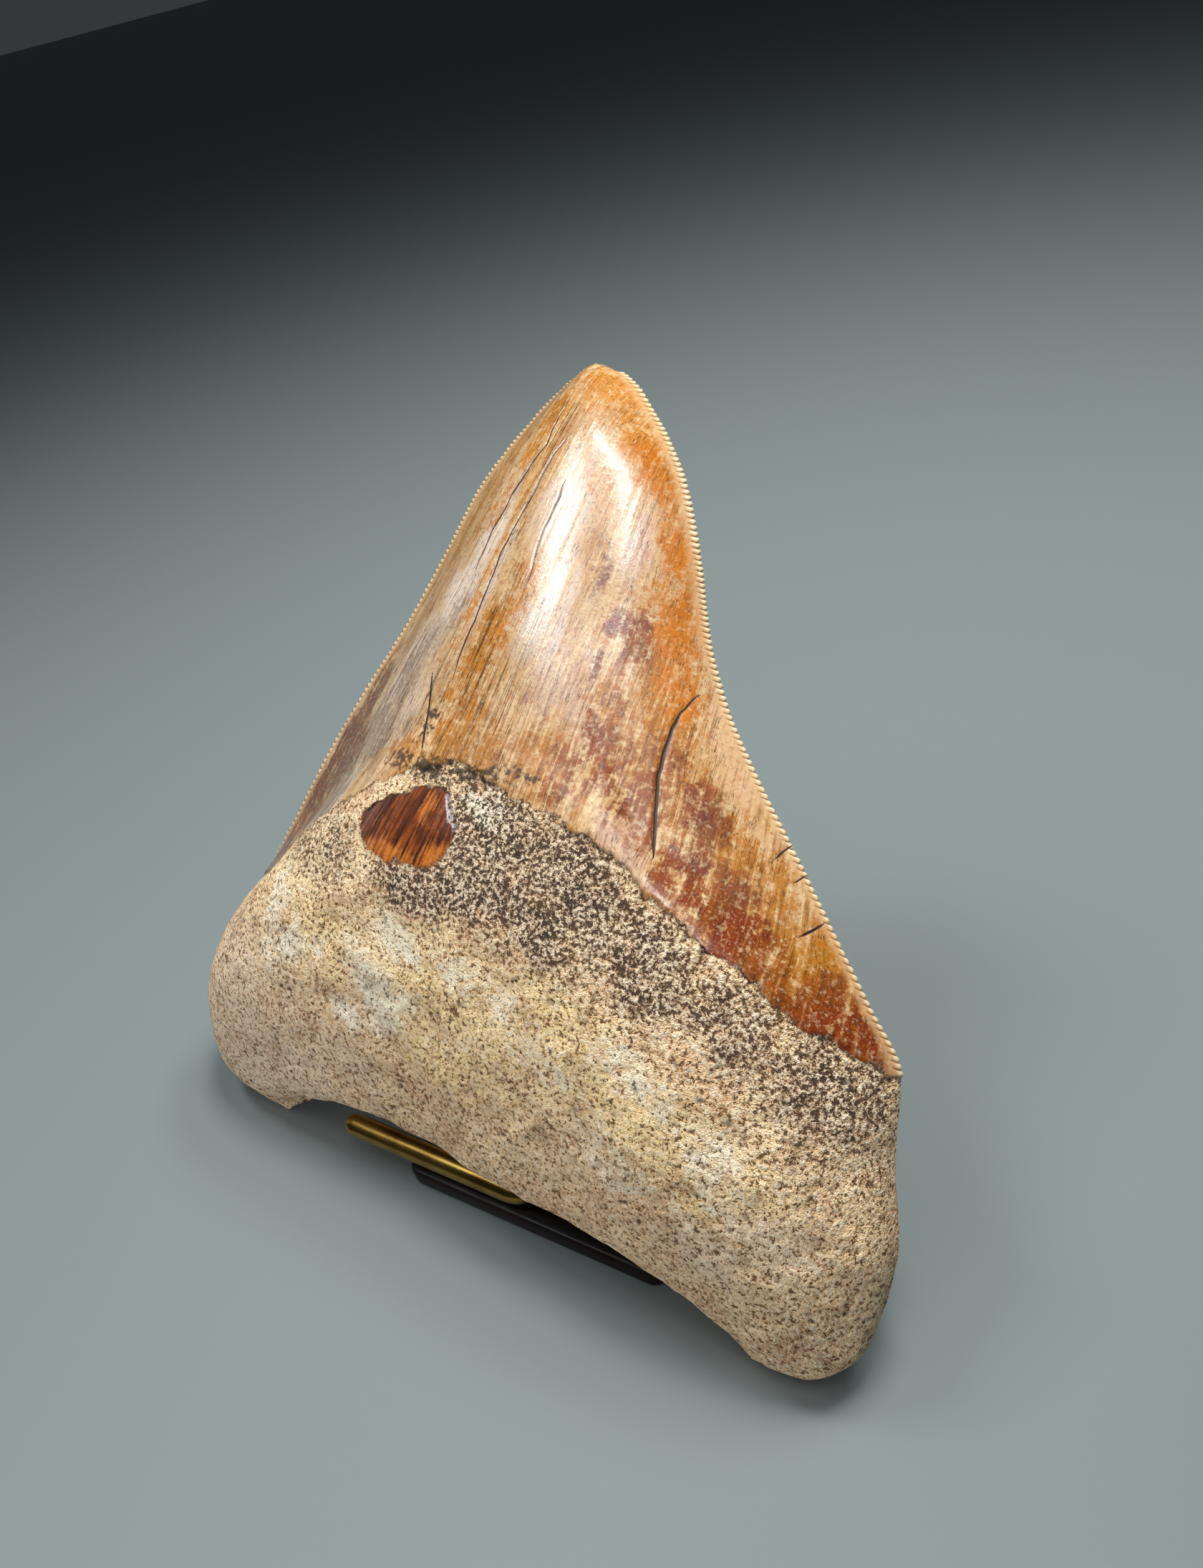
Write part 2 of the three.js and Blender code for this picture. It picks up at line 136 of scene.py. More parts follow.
# Stains as soft ovals on the front: u, v, half width, half height, turn in degrees, and the
# strength where it isn't 1. Their places are bent by waves of STAIN_WARP.
STAIN_WARP, STAIN_WAVE = 1.4, 7.0
STAINS = {
    # The grey ovals are partly the enamel's grey, partly a painted sheen on the crown's left half.
    "grey_and_sheen": (
        (-20.5, 32, 2.4, 8, -14), (-24, 23, 3, 8, -22), (-30, 12, 3.5, 9, -24), (-34, 5, 4, 9, -24, 0.9),
        (-38, -9, 4, 8, -22, 0.9), (-27, 6, 3, 7, -18, 0.6), (-17, 26, 2.0, 8, -12, 0.7),
        (-8, 22, 4, 8, -4, 0.7), (-9, 34, 4, 9, -6, 0.6),
    ),
    "slate": (
        (-30, 10, 3, 8, -24), (-35, 1, 4.5, 8, -24), (-40, -9, 4, 7, -22), (-27, 1, 3, 5, -16, 0.7),
        (-24.5, 17, 1.6, 7, -22, 0.6),
    ),
    "ivory": (
        (16, 9.5, 1.8, 5, 38), (21, 3.5, 1.8, 5, 41), (25.5, -1.5, 1.6, 4, 41, 0.9),
        (0, 36, 2.4, 6, 20, 0.9), (3, 31, 2.4, 5, 20, 0.9), (5, 26.5, 2, 4, 18, 0.8),
        (29.5, -6, 1.4, 3, 41, 0.7), (33, -10.5, 1.2, 2, 41, 0.5),
    ),
    "lilac": (
        (0.5, 10, 3, 8, 2, 0.8), (-4, 14, 3, 8, -4, 0.7), (1, 31, 2, 4, 12, 0.8), (13, -5.5, 2.5, 4, 6),
        (9.5, -4.5, 2, 3, 6, 0.9),
    ),
    "orange": (
        (-14.5, 16.5, 2.2, 6, -10), (-14.5, 8, 2.6, 5, -8), (-17.5, 2.5, 4, 4, -10),
        (-10, 2, 4, 5, -10, 0.9), (-24.5, -1.5, 5, 3, 10, 0.9), (-3, 2, 6, 5, -6, 0.9),
        (5, 9, 4, 8, 6, 0.8), (11, 9, 3.5, 8, 8), (8.5, 16.5, 2.6, 5, 10, 0.8), (15, 1, 3, 7, 16, 0.9),
        (24, -5, 4, 6, 34), (29, -9, 5, 7, 40), (36, -15, 5, 7, 42), (42.5, -20.5, 5, 5, 45),
    ),
    "amber": (
        (0.8, 41.2, 1.9, 5.5, 33), (6.0, 31.3, 1.9, 6, 23), (9.4, 22.5, 2.0, 5.5, 18),
        (11.3, 15, 2.2, 5, 12, 0.8),
    ),
    "rust": (
        (31, -15.2, 2.5, 1.2, -35, 0.8), (-12, 20, 2.5, 8, -10, 0.7), (-17, 9, 3, 5, -12, 0.8),
        (-19, 24, 1.4, 8, -16, 0.7), (-9.2, 52.3, 3, 3, 0, 0.9), (-6.5, 51.5, 3.4, 3, 20),
        (-15, 47.8, 1.8, 4.5, -30), (-18.3, 42.5, 1.6, 5, -30, 0.9), (-2.5, 45, 3.0, 5, 33, 0.9),
        (-5, 40, 3, 4, 20, 0.4), (6, 24, 2.6, 4, 10, 0.7), (-21, 36, 1.8, 6, -28, 0.6),
    ),
    "maroon": (
        (-1.1, 27.5, 1.1, 2.6, 10, 0.9), (3.2, 21.4, 1.9, 2.4, 10), (5.4, 22.4, 1.5, 2.2, 8, 0.8),
        (1.7, 15.3, 1.0, 2.2, 5, 0.8), (2.9, 7.7, 1.4, 2.8, 5), (4.0, 4.7, 1.4, 2.5, 5),
        (7, 1.8, 1.8, 3, 5, 0.7), (9.5, -1.5, 1.8, 3, 6, 0.7), (17.3, 0, 1.6, 3.5, 12, 0.8),
        (20.5, -7, 2.4, 4, 16, 0.9), (27.6, -12.3, 3.0, 3, 20), (41, -20.8, 6, 1.5, -32),
        (17.5, -6.5, 1.6, 3.0, 10, 0.6),
    ),
    "russet": (
        (24.5, -9.5, 4.5, 5, 30, 0.9), (31, -14.5, 6, 3, -36), (38, -18.8, 7, 3, -38),
        (44, -22.5, 6, 2.5, -40), (6, 7, 3, 7, 6, 0.5), (12.5, 2, 3, 8, 8, 0.6), (2, 0.5, 5, 4, 0, 0.6),
        (5.5, 19, 2.4, 4, 8, 0.6), (20, -3, 2.5, 5, 20, 0.7),
    ),
    "umber": (
        (-41.5, 6, 3, 7, -25, 0.9), (-45, -4, 4.5, 8, -25), (-51, -14, 5, 8, -24), (-57, -23, 4, 6, -22),
    ),
    "lined": (
        (-22, 26, 7, 30, -20), (-30, 6, 8, 16, -20), (-12, 12, 12, 16, -8, 0.9),
        (-14, 44, 5, 12, -24, 0.9),
    ),
    "worn": ((7, 2, 14, 17, 14), (24, -9, 10, 8, 30, 0.6), (-20, 4, 12, 8, 0, 0.7)),
    "ember": ((-16.4, -7.6, 1.5, 2.4, -5), (-20, -14.6, 7, 2.2, -6), (-13.6, -13, 3.0, 2.4, 24)),
    "grit": (
        (-18, -2.4, 4, 1.8, 8), (-11.5, -1.4, 5, 1.8, -6), (-25, -2.6, 4, 1.6, 12, 0.9),
        (-21.6, 3, 1.5, 4, -16, 0.7), (-5, -1.2, 4, 1.2, -6, 0.6),
    ),
    # These ovals mark painted shadow under the enamel's overhanging edge along the border, on the right.
    "overhang_shadow": ((23.5, -13, 4.2, 0.9, -31), (31, -16.5, 2.5, 0.7, -31, 0.6)),
    "soil": (
        (-5, -8, 12, 6, -12), (8, -12, 11, 6.5, -28), (-6, -15, 13, 6, -10), (19, -17, 10, 6, -34, 0.9),
        (31, -22, 9, 5, -34, 0.75), (42, -27, 8, 6, -40, 0.8), (-15, -17.5, 9, 4, -10),
        (-33, -17, 9, 5, 10, 0.6), (-40, -15, 5, 8, -20, 0.5), (5, -18, 8, 4, -22),
    ),
    "ochre": (
        (-32, -28, 9, 5, -8, 0.9), (-13, -28, 9, 5, -6), (0, -30, 12, 6, -10), (13, -30, 11, 6, -22),
        (25, -36, 11, 6, -30), (36, -42, 9, 6, -38, 0.8), (-42, -24, 7, 5, -10, 0.5),
        (-8, -38, 14, 5, -14, 0.6),
    ),
    "chalk": (
        (-17, -25, 5, 3, -30, 0.9), (-21, -32, 6, 3.5, -50), (-17, -36, 5, 3, 30),
        (-25, -38, 4, 2.5, -40, 0.9), (-41, -29, 3, 7, 10, 0.8), (-37, -31, 3, 4, 0, 0.8),
        (8, -32, 7, 3, -20, 0.6), (-2, -27, 8, 2.5, -10, 0.6), (22, -31, 7, 3, -30, 0.6),
        (33, -38, 6, 3.5, -40, 0.6), (20, -42, 6, 3, -30, 0.5), (-9, -5.5, 3.5, 2.4, -30, 0.5),
        (-34, -30, 5, 2.5, -10, 0.6),
    ),
    "ash": (
        (40, -44, 6, 4, -10, 0.9), (33, -49, 5, 4, -30, 0.8), (-50, -43, 10, 12, 0), (-52, -56, 14, 8, 0),
        (-36, -52, 8, 6, 0, 0.8), (-26, -46, 7, 4, -20, 0.6), (-38, -42, 6, 6, 0, 0.5),
    ),
}
# How each stain colours the crown and the root: how streaky, how mottled, how strong, and its colour.
CROWN_LAYERS = (
    # The grey layer's pale colour is partly the enamel's grey, partly a painted sheen.
    ("grey_and_sheen", 1.8, 0.7, 0.9, (230, 218, 216)),
    ("slate", 2.0, 0.7, 0.95, (156, 138, 120)),
    ("ivory", 0.7, 1.2, 0.9, (220, 182, 148)),
    ("lilac", 1.4, 0.9, 0.75, (206, 174, 166)),
    ("orange", 2.0, 1.4, 0.95, (184, 122, 36)),
    ("rust", 0.5, 3.0, 0.85, (206, 136, 40)),
    ("russet", 1.4, 1.8, 0.95, (134, 68, 22)),
    ("amber", 0.4, 1.6, 1.0, (204, 122, 20)),
    ("maroon", 0.9, 2.4, 0.9, (124, 46, 14)),
    ("umber", 1.4, 1.0, 0.95, (112, 62, 28)),
)
ROOT_LAYERS = (
    ("ochre", 0.0, 1.6, 0.9, (255, 222, 158)),
    ("soil", 0.0, 1.4, 0.9, (158, 132, 104)),
    ("ash", 0.0, 1.4, 0.8, (242, 216, 186)),
    ("chalk", 0.0, 2.0, 1.0, (255, 244, 218)),
)
# Noises over the tooth: size, detail, roughness, and the share of their length that is kept
# along the growth lines, for those that are drawn out along them.
NOISES = {
    "broad": (8, 4, 0.55, None),
    "patches": (4.6, 4, 0.7, None),
    "middle": (2.6, 4, 0.6, None),
    "flake": (1.6, 4, 0.65, None),
    "fine": (0.9, 4, 0.65, None),
    "grain": (0.62, 3, 0.75, None),
    "speck": (0.4, 3, 0.7, None),
    "bands": (3.2, 4, 0.6, 0.08),
    "long_lines": (2.0, 3, 0.55, 0.016),
    "streaks": (1.3, 5, 0.62, 0.07),
    "threads": (0.42, 4, 0.65, 0.045),
}
# Flecks, each where a noise goes from one level to another: noise, the two levels, amount,
# share of the fleck's own colour, and that colour.
CROWN_GROUND = (
    ("broad", 0.40, 0.62, 0.5, 1.0, (202, 162, 122)),
    ("streaks", 0.48, 0.64, 0.75, 1.0, (182, 124, 58)),
    ("middle", 0.52, 0.66, 0.5, 1.0, (192, 132, 68)),
    ("threads", 0.47, 0.38, 0.6, 0.5, (248, 232, 206)),
)
CROWN_THREADS = (("threads", 0.46, 0.36, 0.35, 0.4, (240, 206, 160)),)
CROWN_FLECKS = (
    ("fine", 0.54, 0.64, 0.6, 0.6, (184, 104, 34)),
    ("fine", 0.46, 0.36, 0.5, 0.4, (255, 236, 206)),
    ("speck", 0.56, 0.65, 0.7, 0.65, (84, 48, 28)),
    ("speck", 0.42, 0.34, 0.5, 0.4, (255, 240, 216)),
)
ROOT_GROUND = (("middle", 0.48, 0.62, 0.5, 1.0, (198, 154, 110)),)
ROOT_FLECKS = (
    ("patches", 0.53, 0.62, 0.5, 1.0, (176, 134, 90)),
    ("patches", 0.44, 0.36, 0.4, 1.0, (244, 220, 180)),
    ("fine", 0.46, 0.37, 0.55, 0.6, (150, 104, 60)),
    ("fine", 0.54, 0.63, 0.5, 0.5, (255, 240, 208)),
    # Pale grain tops: partly cream grains, partly painted highlight on the grains.
    ("grain", 0.52, 0.59, 0.85, 0.6, (255, 246, 224)),
)
REMNANT_FLECKS = (("middle", 0.42, 0.6, 0.6, 1.0, (60, 26, 12)),)
REMNANT_SPECKS = (("speck", 0.56, 0.66, 0.5, 1.0, (30, 12, 6)),)
# Dark hairlines, each along one level of a noise: level and width, and for the short ones the
# amount and the noise that breaks them up.
LONG_HAIRS = ((0.5, 0.009), (0.44, 0.007), (0.56, 0.007))
SHORT_HAIRS = ((0.5, 0.014, 0.9, "middle"), (0.43, 0.009, 0.8, "broad"), (0.58, 0.009, 0.8, "broad"))
# Colours as seen on a screen.
COLOURS = {
    "crown": (214, 186, 152),
    "crown_band": (204, 158, 100),
    "dark_thread": (92, 54, 26),
    "long_hair": (60, 40, 26),
    "short_hair": (66, 42, 26),
    "rim": (226, 190, 150),
    # Painted shade for the gaps between the serrations.
    "notch": (90, 58, 34),
    "serration": (252, 234, 204),
    "root": (226, 186, 142),
    "root_pale": (246, 214, 166),
    "rusty": (216, 158, 92),
    # The next two darks are partly soil, partly painted shade between the root's grains.
    "root_dark_and_shade": (104, 74, 46),
    "soil_dark_and_shade": (56, 44, 36),
    "pit": (70, 52, 38),
    "remnant": (50, 20, 8),
    "remnant_thread": (138, 70, 26),
    "ember": (186, 108, 42),
    "grit": (54, 40, 28),
    "lip": (50, 30, 20),
    "crack": (44, 30, 20),
    "wood_dark": (8, 4, 3),
    "wood_light": (22, 11, 7),
    "brass_light": (168, 134, 66),
    "brass_dark": (130, 98, 44),
    "floor": (108, 118, 119),
}
# What the whole crown's colour is multiplied by, and how much of that counts.
CROWN_SHADE = (0.70, 0.665, 0.545, 1)
CROWN_SHADE_SHARE = 0.9

# Relief of the tooth's skin, in height.
GRAIN_HEIGHT, LUMP_HEIGHT, SOIL_LUMP_HEIGHT = 0.05, 0.07, 0.09
SWELL_HEIGHT, KNOB_HEIGHT, PIT_DEPTH = 0.45, 0.2, 0.2
ENAMEL_STEP, ENAMEL_WAVES, ENAMEL_STREAKS = 0.32, 0.07, 0.012
REMNANT_STEP, REMNANT_STREAKS = 0.12, 0.04
CRACK_DEPTH, CRACK_SPREAD, CRACK_NEAR = 0.5, 1.3, 0.8
SKIN_INSET = 0.25
EDGE_FADE, EDGE_RELIEF = 1.4, 0.2
# Relief that only the shading shows, and the clear coat's unevenness.
FINE_RELIEF, COAT_RELIEF = 0.35, 0.018
COAT_ROUGHNESS = 0.12

# Stand: middle of its front edge in the model, its turn, and its sizes.
STAND_PLACE = np.array([9.237, -37.375, 0.0])
STAND_TURN = math.radians(3.7)
PLATE_WIDTH, PLATE_DEPTH, PLATE_HEIGHT = 43.5, 52, 3.2
PLATE_CORNER, PLATE_EDGE, PLATE_INSET = 2.5, 0.7, 2.2
GAP = 0.35
BAR_RADIUS = 1.75
BAR_HEIGHT = 5.8
BAR_BACK = 2.2
ARM_REACH = 33.6
BEND_RADIUS = 3.4
FOOT_BACK = 9.5
POST_BACK = 41.89
POST_RADIUS = 2.4
REST_HALF = 17
REST_HEIGHT = 37
BAR_SIDES = 40
TIP_RADIUS = 0.01

# Lamps: name, place, what they look at, width and depth, power.
LAMPS = (
    ("above", (50, 120, 455), (0, 0, 20), (130, 90), 2.1),
    ("back", (110, 230, 420), (0, 0, 20), (160, 80), 1.2),
    ("left", (-200, 20, 430), (0, 0, 20), (80, 140), 1.0),
    ("right", (150, -90, 440), (0, 0, 20), (80, 120), 0.18),
    ("front", (-20, -330, 90), (0, -20, 30), (180, 120), 0.5),
)
# Reflections of a light frame in the gloss: middle across and back, width, depth, power.
GLEAMS = (
    (-160, -148, 120, 136, 0.85), (20, -52, 200, 28, 0.7), (118, -90, 36, 84, 0.28),
    (10, -165, 190, 40, 0.07), (-60, -200, 110, 60, 0.07),
)
GLEAM_HEIGHT = 450
PALE_WALL = ("pale_wall", (-450, -60, 150), (0, 0, 60), (320, 240), 0.12)
LAMP_COLOUR = (1.0, 0.985, 0.96)
GLEAM_COLOUR = (0.88, 0.95, 1.0)
SKY_COLOUR, SKY_STRENGTH = (0.60, 0.66, 0.68, 1), 0.06
FLOOR_HALF, FLOOR_DROP = 30000, 0.02


def camera():
    """The photograph's camera."""
    data = bpy.data.cameras.new("camera")
    data.lens = CAMERA_LENS
    data.sensor_width = 36
    data.clip_start = 0.01
    right = Vector(CAMERA_RIGHT).normalized()
    back = Vector(CAMERA_BACK).normalized()
    turn = Matrix((right, back.cross(right), back)).transposed().to_4x4()
    rig = bpy.data.objects.new("camera", data)
    rig.matrix_world = Matrix.Translation(Vector(CAMERA_PLACE) * MM) @ turn
    bpy.context.scene.collection.objects.link(rig)
    bpy.context.scene.camera = rig


def smooth_step(low, high, x):
    q = np.clip((x - low) / (high - low), 0, 1)
    return q * q * (3 - 2 * q)


def curve_through(table, column=1):
    """A curve through the rows of a table that doesn't overshoot them."""
    x = np.array([row[0] for row in table], float)
    y = np.array([row[column] for row in table], float)
    steps = np.diff(x)
    slopes = np.diff(y) / steps
    tangents = np.concatenate([slopes[:1], np.zeros(len(x) - 2), slopes[-1:]])
    for k in range(1, len(x) - 1):
        before, after = steps[k - 1], steps[k]
        if slopes[k - 1] * slopes[k] > 0:
            one, other = 2 * after + before, after + 2 * before
            tangents[k] = (one + other) / (one / slopes[k - 1] + other / slopes[k])

    def curve(place):
        place = np.clip(np.asarray(place, float), x[0], x[-1])
        k = np.clip(np.searchsorted(x, place, side="right") - 1, 0, len(x) - 2)
        q = (place - x[k]) / steps[k]
        start = (1 + 2 * q) * (1 - q) ** 2 * y[k]
        end = q * q * (3 - 2 * q) * y[k + 1]
        return start + end + q * (1 - q) * steps[k] * ((1 - q) * tangents[k] - q * tangents[k + 1])

    return curve


right_across, right_up = curve_through(RIGHT_SIDE), curve_through(RIGHT_SIDE, 2)
left_across, left_up = curve_through(LEFT_SIDE), curve_through(LEFT_SIDE, 2)
chevron, chevron_share = curve_through(CHEVRON), curve_through(CHEVRON_SHARE)
back_share, notch_share = curve_through(BACK_SHARE), curve_through(NOTCH_SHARE)
lip_share = curve_through(LIP_SHARE)
front_depth, back_depth = curve_through(FRONT_DEPTH), curve_through(BACK_DEPTH)


def tooth_point(s, t, front):
    """Points (u, v, w) of the tooth: s from -1 at the left to 1 at the right, t the row."""
    s, t, front = np.broadcast_arrays(np.asarray(s, float), np.asarray(t, float), front)
    across = left_across(t) + (right_across(t) - left_across(t)) * (s + 1) / 2
    side = left_up(t) + (right_up(t) - left_up(t)) * (s + 1) / 2
    arch = np.clip(1 - s * s, 0, None) ** 1.3
    hollow = np.clip(1 - np.abs(s) ** 2.4, 0, None) ** 1.25
    notch = hollow + (arch - hollow) * smooth_step(0, 0.02, t)
    lip = LIP_DROP * lip_share(t) * (1 - (s - LIP_CENTRE) ** 2) ** 3 * np.clip(1 - s * s, 0, None)
    rise = np.where(front, chevron(s) * chevron_share(t) - lip, chevron(-0.13) * arch * back_share(t))
    up = side + NOTCH_RISE * notch_share(t) * notch + rise
    crown = smooth_step(T_CROWN - 0.06, T_CROWN + 0.08, t)
    fullness = np.where(front, 3.4 - 1.4 * crown, 3.6 - 1.2 * crown)
    roundness = np.where(front, 0.5 + 0.62 * crown, 0.5 + 0.5 * crown)
    section = np.clip(1 - np.abs(s) ** fullness, 0, None) ** roundness
    depth = np.where(front, front_depth(t), -back_depth(t)) * section
    return np.stack([across, up, depth], -1)


def to_model(points):
    """From the tooth's plane to the model's axes."""
    u, v, w = points[..., 0], points[..., 1], points[..., 2]
    sin, cos = math.sin(LEAN), math.cos(LEAN)
    return np.stack([u, v * sin - w * cos, v * cos + w * sin], -1) + TOOTH_ORIGIN


def lattice(cells, seed):
    """A repeatable number from 0 to 1 for each whole-number cell."""
    x, y, z = (cells[..., k].astype(np.int64).astype(np.uint32) for k in range(3))
    mixed = x * np.uint32(374761393) + y * np.uint32(668265263) + z * np.uint32(974634777)
    mixed = mixed + np.uint32(seed * 362437)
    mixed = (mixed ^ (mixed >> np.uint32(13))) * np.uint32(1274126177)
    mixed = (mixed ^ (mixed >> np.uint32(16))) * np.uint32(2246822519)
    return (mixed >> np.uint32(8)).astype(float) / 2 ** 24


CORNERS = np.array([(x, y, z) for x in (0, 1) for y in (0, 1) for z in (0, 1)])


def value_noise(points, seed):
    base = np.floor(points)
    part = points - base
    part = part * part * (3 - 2 * part)
    total = np.zeros(points.shape[:-1])
    for corner in CORNERS:
        weight = np.prod(np.where(corner == 1, part, 1 - part), axis=-1)
        total += weight * lattice(base + corner, seed)
    return total


def fractal(points, size, seed, octaves=3):
    """Noise from about -1 to 1 whose largest lumps are `size` across."""
    total, share = 0, 1
    for octave in range(octaves):
        total = total + share * (2 * value_noise(points / size, seed + octave) - 1)
        size, share = size / 2.1, share * 0.5
    return total


def nearest_cell(points, size, seed):
    """Distance to the nearest of scattered points one to a cell, and that cell's own number."""
    scaled = points / size
    base = np.floor(scaled)
    best = np.full(points.shape[:-1], 9.0)
    own = np.zeros(points.shape[:-1])
    steps = (-1, 0, 1)
    for step in [np.array((x, y, z)) for x in steps for y in steps for z in steps]:
        cell = base + step
        spot = np.stack([lattice(cell, seed + k) for k in (0, 1, 2)], -1)
        distance = np.linalg.norm(cell + spot - scaled, axis=-1)
        nearer = distance < best
        best = np.where(nearer, distance, best)
        own = np.where(nearer, spot[..., 0], own)
    return best, own


class Skin:
    """Points (s, t, side) and triangles of the whole tooth."""

    def __init__(self):
        self.s, self.t, self.front, self.strip, self.faces = [], [], [], [], []
        self.count = 0

    def points(self, s, t, front, strip=0.0):
        s, t, strip = np.broadcast_arrays(np.asarray(s, float), np.asarray(t, float), strip)
        for store, values in ((self.s, s), (self.t, t), (self.strip, strip)):
            store.append(values.ravel())
        self.front.append(np.full(s.size, front))
        ids = np.arange(self.count, self.count + s.size).reshape(s.shape)
        self.count += s.size
        return ids

    def triangles(self, a, b, c, front):
        a, b, c = (np.asarray(x).ravel() for x in (a, b, c))
        self.faces.append(np.stack([a, b, c] if front else [a, c, b], -1))

    def grid(self, ids, front):
        low_left, low_right = ids[:-1, :-1], ids[:-1, 1:]
        high_left, high_right = ids[1:, :-1], ids[1:, 1:]
        self.triangles(low_left, low_right, high_right, front)
        self.triangles(low_left, high_right, high_left, front)

    def zip(self, left, left_place, right, right_place, front):
        """Triangles between two lines of points that run the same way, with `right` on the right."""
        a = b = 0
        faces = []
        while a < len(left) - 1 or b < len(right) - 1:
            step_left = b == len(right) - 1
            if not step_left and a < len(left) - 1:
                step_left = left_place[a + 1] <= right_place[b + 1]
            if step_left:
                faces.append((left[a], right[b], left[a + 1]))
                a += 1
            else:
                faces.append((left[a], right[b], right[b + 1]))
                b += 1
        faces = np.array(faces)
        self.triangles(faces[:, 0], faces[:, 1], faces[:, 2], front)


def even_rows(low, high, count, front):
    """Rows spaced evenly along the surface between two rows."""
    t = np.linspace(low, high, 1200)
    lengths = np.zeros(len(t) - 1)
    for s in (-0.75, -0.35, 0.1, 0.5, 0.8):
        lengths += np.linalg.norm(np.diff(tooth_point(s, t, front), axis=0), axis=-1)
    travelled = np.concatenate([[0], np.cumsum(lengths)])
    return np.interp(np.linspace(0, travelled[-1], count + 1), travelled, t)


def half_width(t):
    return (right_across(t) - left_across(t)) / 2


def strip_share(t, distance):
    """How far from the middle, from 0 to 1, a line is that runs `distance` inside the edge."""
    width = half_width(t)
    return 1 - distance * np.minimum(1, 0.5 * width / STRIP_WIDTH) / width


def build_skin():
    skin = Skin()
    step = (T_LAST_SERRATION - T_CROWN) / (SERRATIONS * STEPS_PER_SERRATION)
    rim_rows = np.concatenate([
        even_rows(0, T_CROWN, FRONT_ROOT_ROWS, True)[:-1],
        T_CROWN + step * np.arange(SERRATIONS * STEPS_PER_SERRATION),
        np.linspace(T_LAST_SERRATION, 1, 9),
    ])
    rims = {sign: skin.points(sign, rim_rows, True, 0.0) for sign in (-1, 1)}
    ends = {}
    for front in (True, False):
        columns = FRONT_COLUMNS if front else BACK_COLUMNS
        root_rows, crown_rows = (
            (FRONT_ROOT_ROWS, FRONT_CROWN_ROWS) if front else (BACK_ROOT_ROWS, BACK_CROWN_ROWS)
        )
        rows = np.concatenate([
            even_rows(0, T_CROWN, root_rows, front),
            even_rows(T_CROWN, 1, crown_rows, front)[1:],
        ])
        q = np.linspace(-1, 1, columns + 1)
        places = 0.3 * np.sin(q * math.pi / 2) + 0.7 * q
        inner_rows = rows if front else rows[1:-1]
        spread = places[None, :] * strip_share(inner_rows, STRIP_WIDTH)[:, None]
        distance = (1 - np.abs(spread)) * half_width(inner_rows)[:, None]
        ids = skin.points(spread, inner_rows[:, None], front, distance)
        skin.grid(ids, front)
        left_ids, right_ids = ids[:, 0], ids[:, -1]
        if front:
            ends = {"bottom": ids[0], "top": ids[-1], "places": places}
        else:
            skin.zip(ids[0], places, ends["bottom"], ends["places"], front)
            skin.zip(ends["top"], ends["places"], ids[-1], places, front)
            left_ids = np.concatenate([ends["bottom"][:1], left_ids, ends["top"][:1]])
            right_ids = np.concatenate([ends["bottom"][-1:], right_ids, ends["top"][-1:]])
        for sign in (-1, 1):
            lines = [rims[sign]]
            for number, distance in enumerate(STRIP_COLUMNS[1:]):
                key = (sign, number)
                use = rim_rows if front else rim_rows[1:-1]
                line = skin.points(sign * strip_share(use, distance), use, front, distance)
                if front:
                    ends[key] = (line[0], line[-1])
                else:
                    line = np.concatenate([[ends[key][0]], line, [ends[key][1]]])
                lines.append(line)
            ordered = lines[::-1] if sign > 0 else lines
            skin.grid(np.stack(ordered, -1), front)
            if sign > 0:
                skin.zip(right_ids, rows, lines[-1], rim_rows, front)
            else:
                skin.zip(lines[-1], rim_rows, left_ids, rows, front)
    skin.s, skin.t = np.concatenate(skin.s), np.concatenate(skin.t)
    skin.front, skin.strip = np.concatenate(skin.front), np.concatenate(skin.strip)
    skin.faces = np.concatenate(skin.faces)
    return skin


def vertex_normals(points, faces):
    a, b, c = (points[faces[:, k]] for k in range(3))
    cross = np.cross(b - a, c - a)
    normals = np.zeros_like(points)
    for axis in range(3):
        for corner in range(3):
            normals[:, axis] += np.bincount(faces[:, corner], cross[:, axis], len(points))
    return normals / np.maximum(np.linalg.norm(normals, axis=1, keepdims=True), 1e-12)


def line_distance(places, line, closed=False):
    """Signed distance to a line of points, and how far along it the nearest place is, 0 to 1."""
    points = np.array(line + (line[:1] if closed else ()), float)
    best = np.full(len(places), 1e9)
    signed = np.zeros(len(places))
    along = np.zeros(len(places))
    lengths = np.linalg.norm(np.diff(points, axis=0), axis=1)
    before = 0
    for start, end, length in zip(points[:-1], points[1:], lengths):
        run = end - start
        q = np.clip((places - start) @ run / length ** 2, 0, 1)
        away = places - start - q[:, None] * run
        distance = np.linalg.norm(away, axis=1)
        side = np.sign(run[0] * (places[:, 1] - start[1]) - run[1] * (places[:, 0] - start[0]))
        nearer = distance < best
        best = np.where(nearer, distance, best)
        signed = np.where(nearer, side * distance, signed)
        along = np.where(nearer, (before + q * length) / lengths.sum(), along)
        before += length
    return signed, along


def inside_distance(places, outline):
    """Distance to an outline, positive inside it."""
    signed, _ = line_distance(places, outline, closed=True)
    points = np.array(outline)
    inside = np.zeros(len(places), bool)
    for (x1, y1), (x2, y2) in zip(points, np.roll(points, -1, axis=0)):
        crosses = (y1 > places[:, 1]) != (y2 > places[:, 1])
        at = x1 + (places[:, 1] - y1) * (x2 - x1) / (y2 - y1 if y2 != y1 else 1e-9)
        inside ^= crosses & (places[:, 0] < at)
    return np.where(inside, 1, -1) * np.abs(signed)


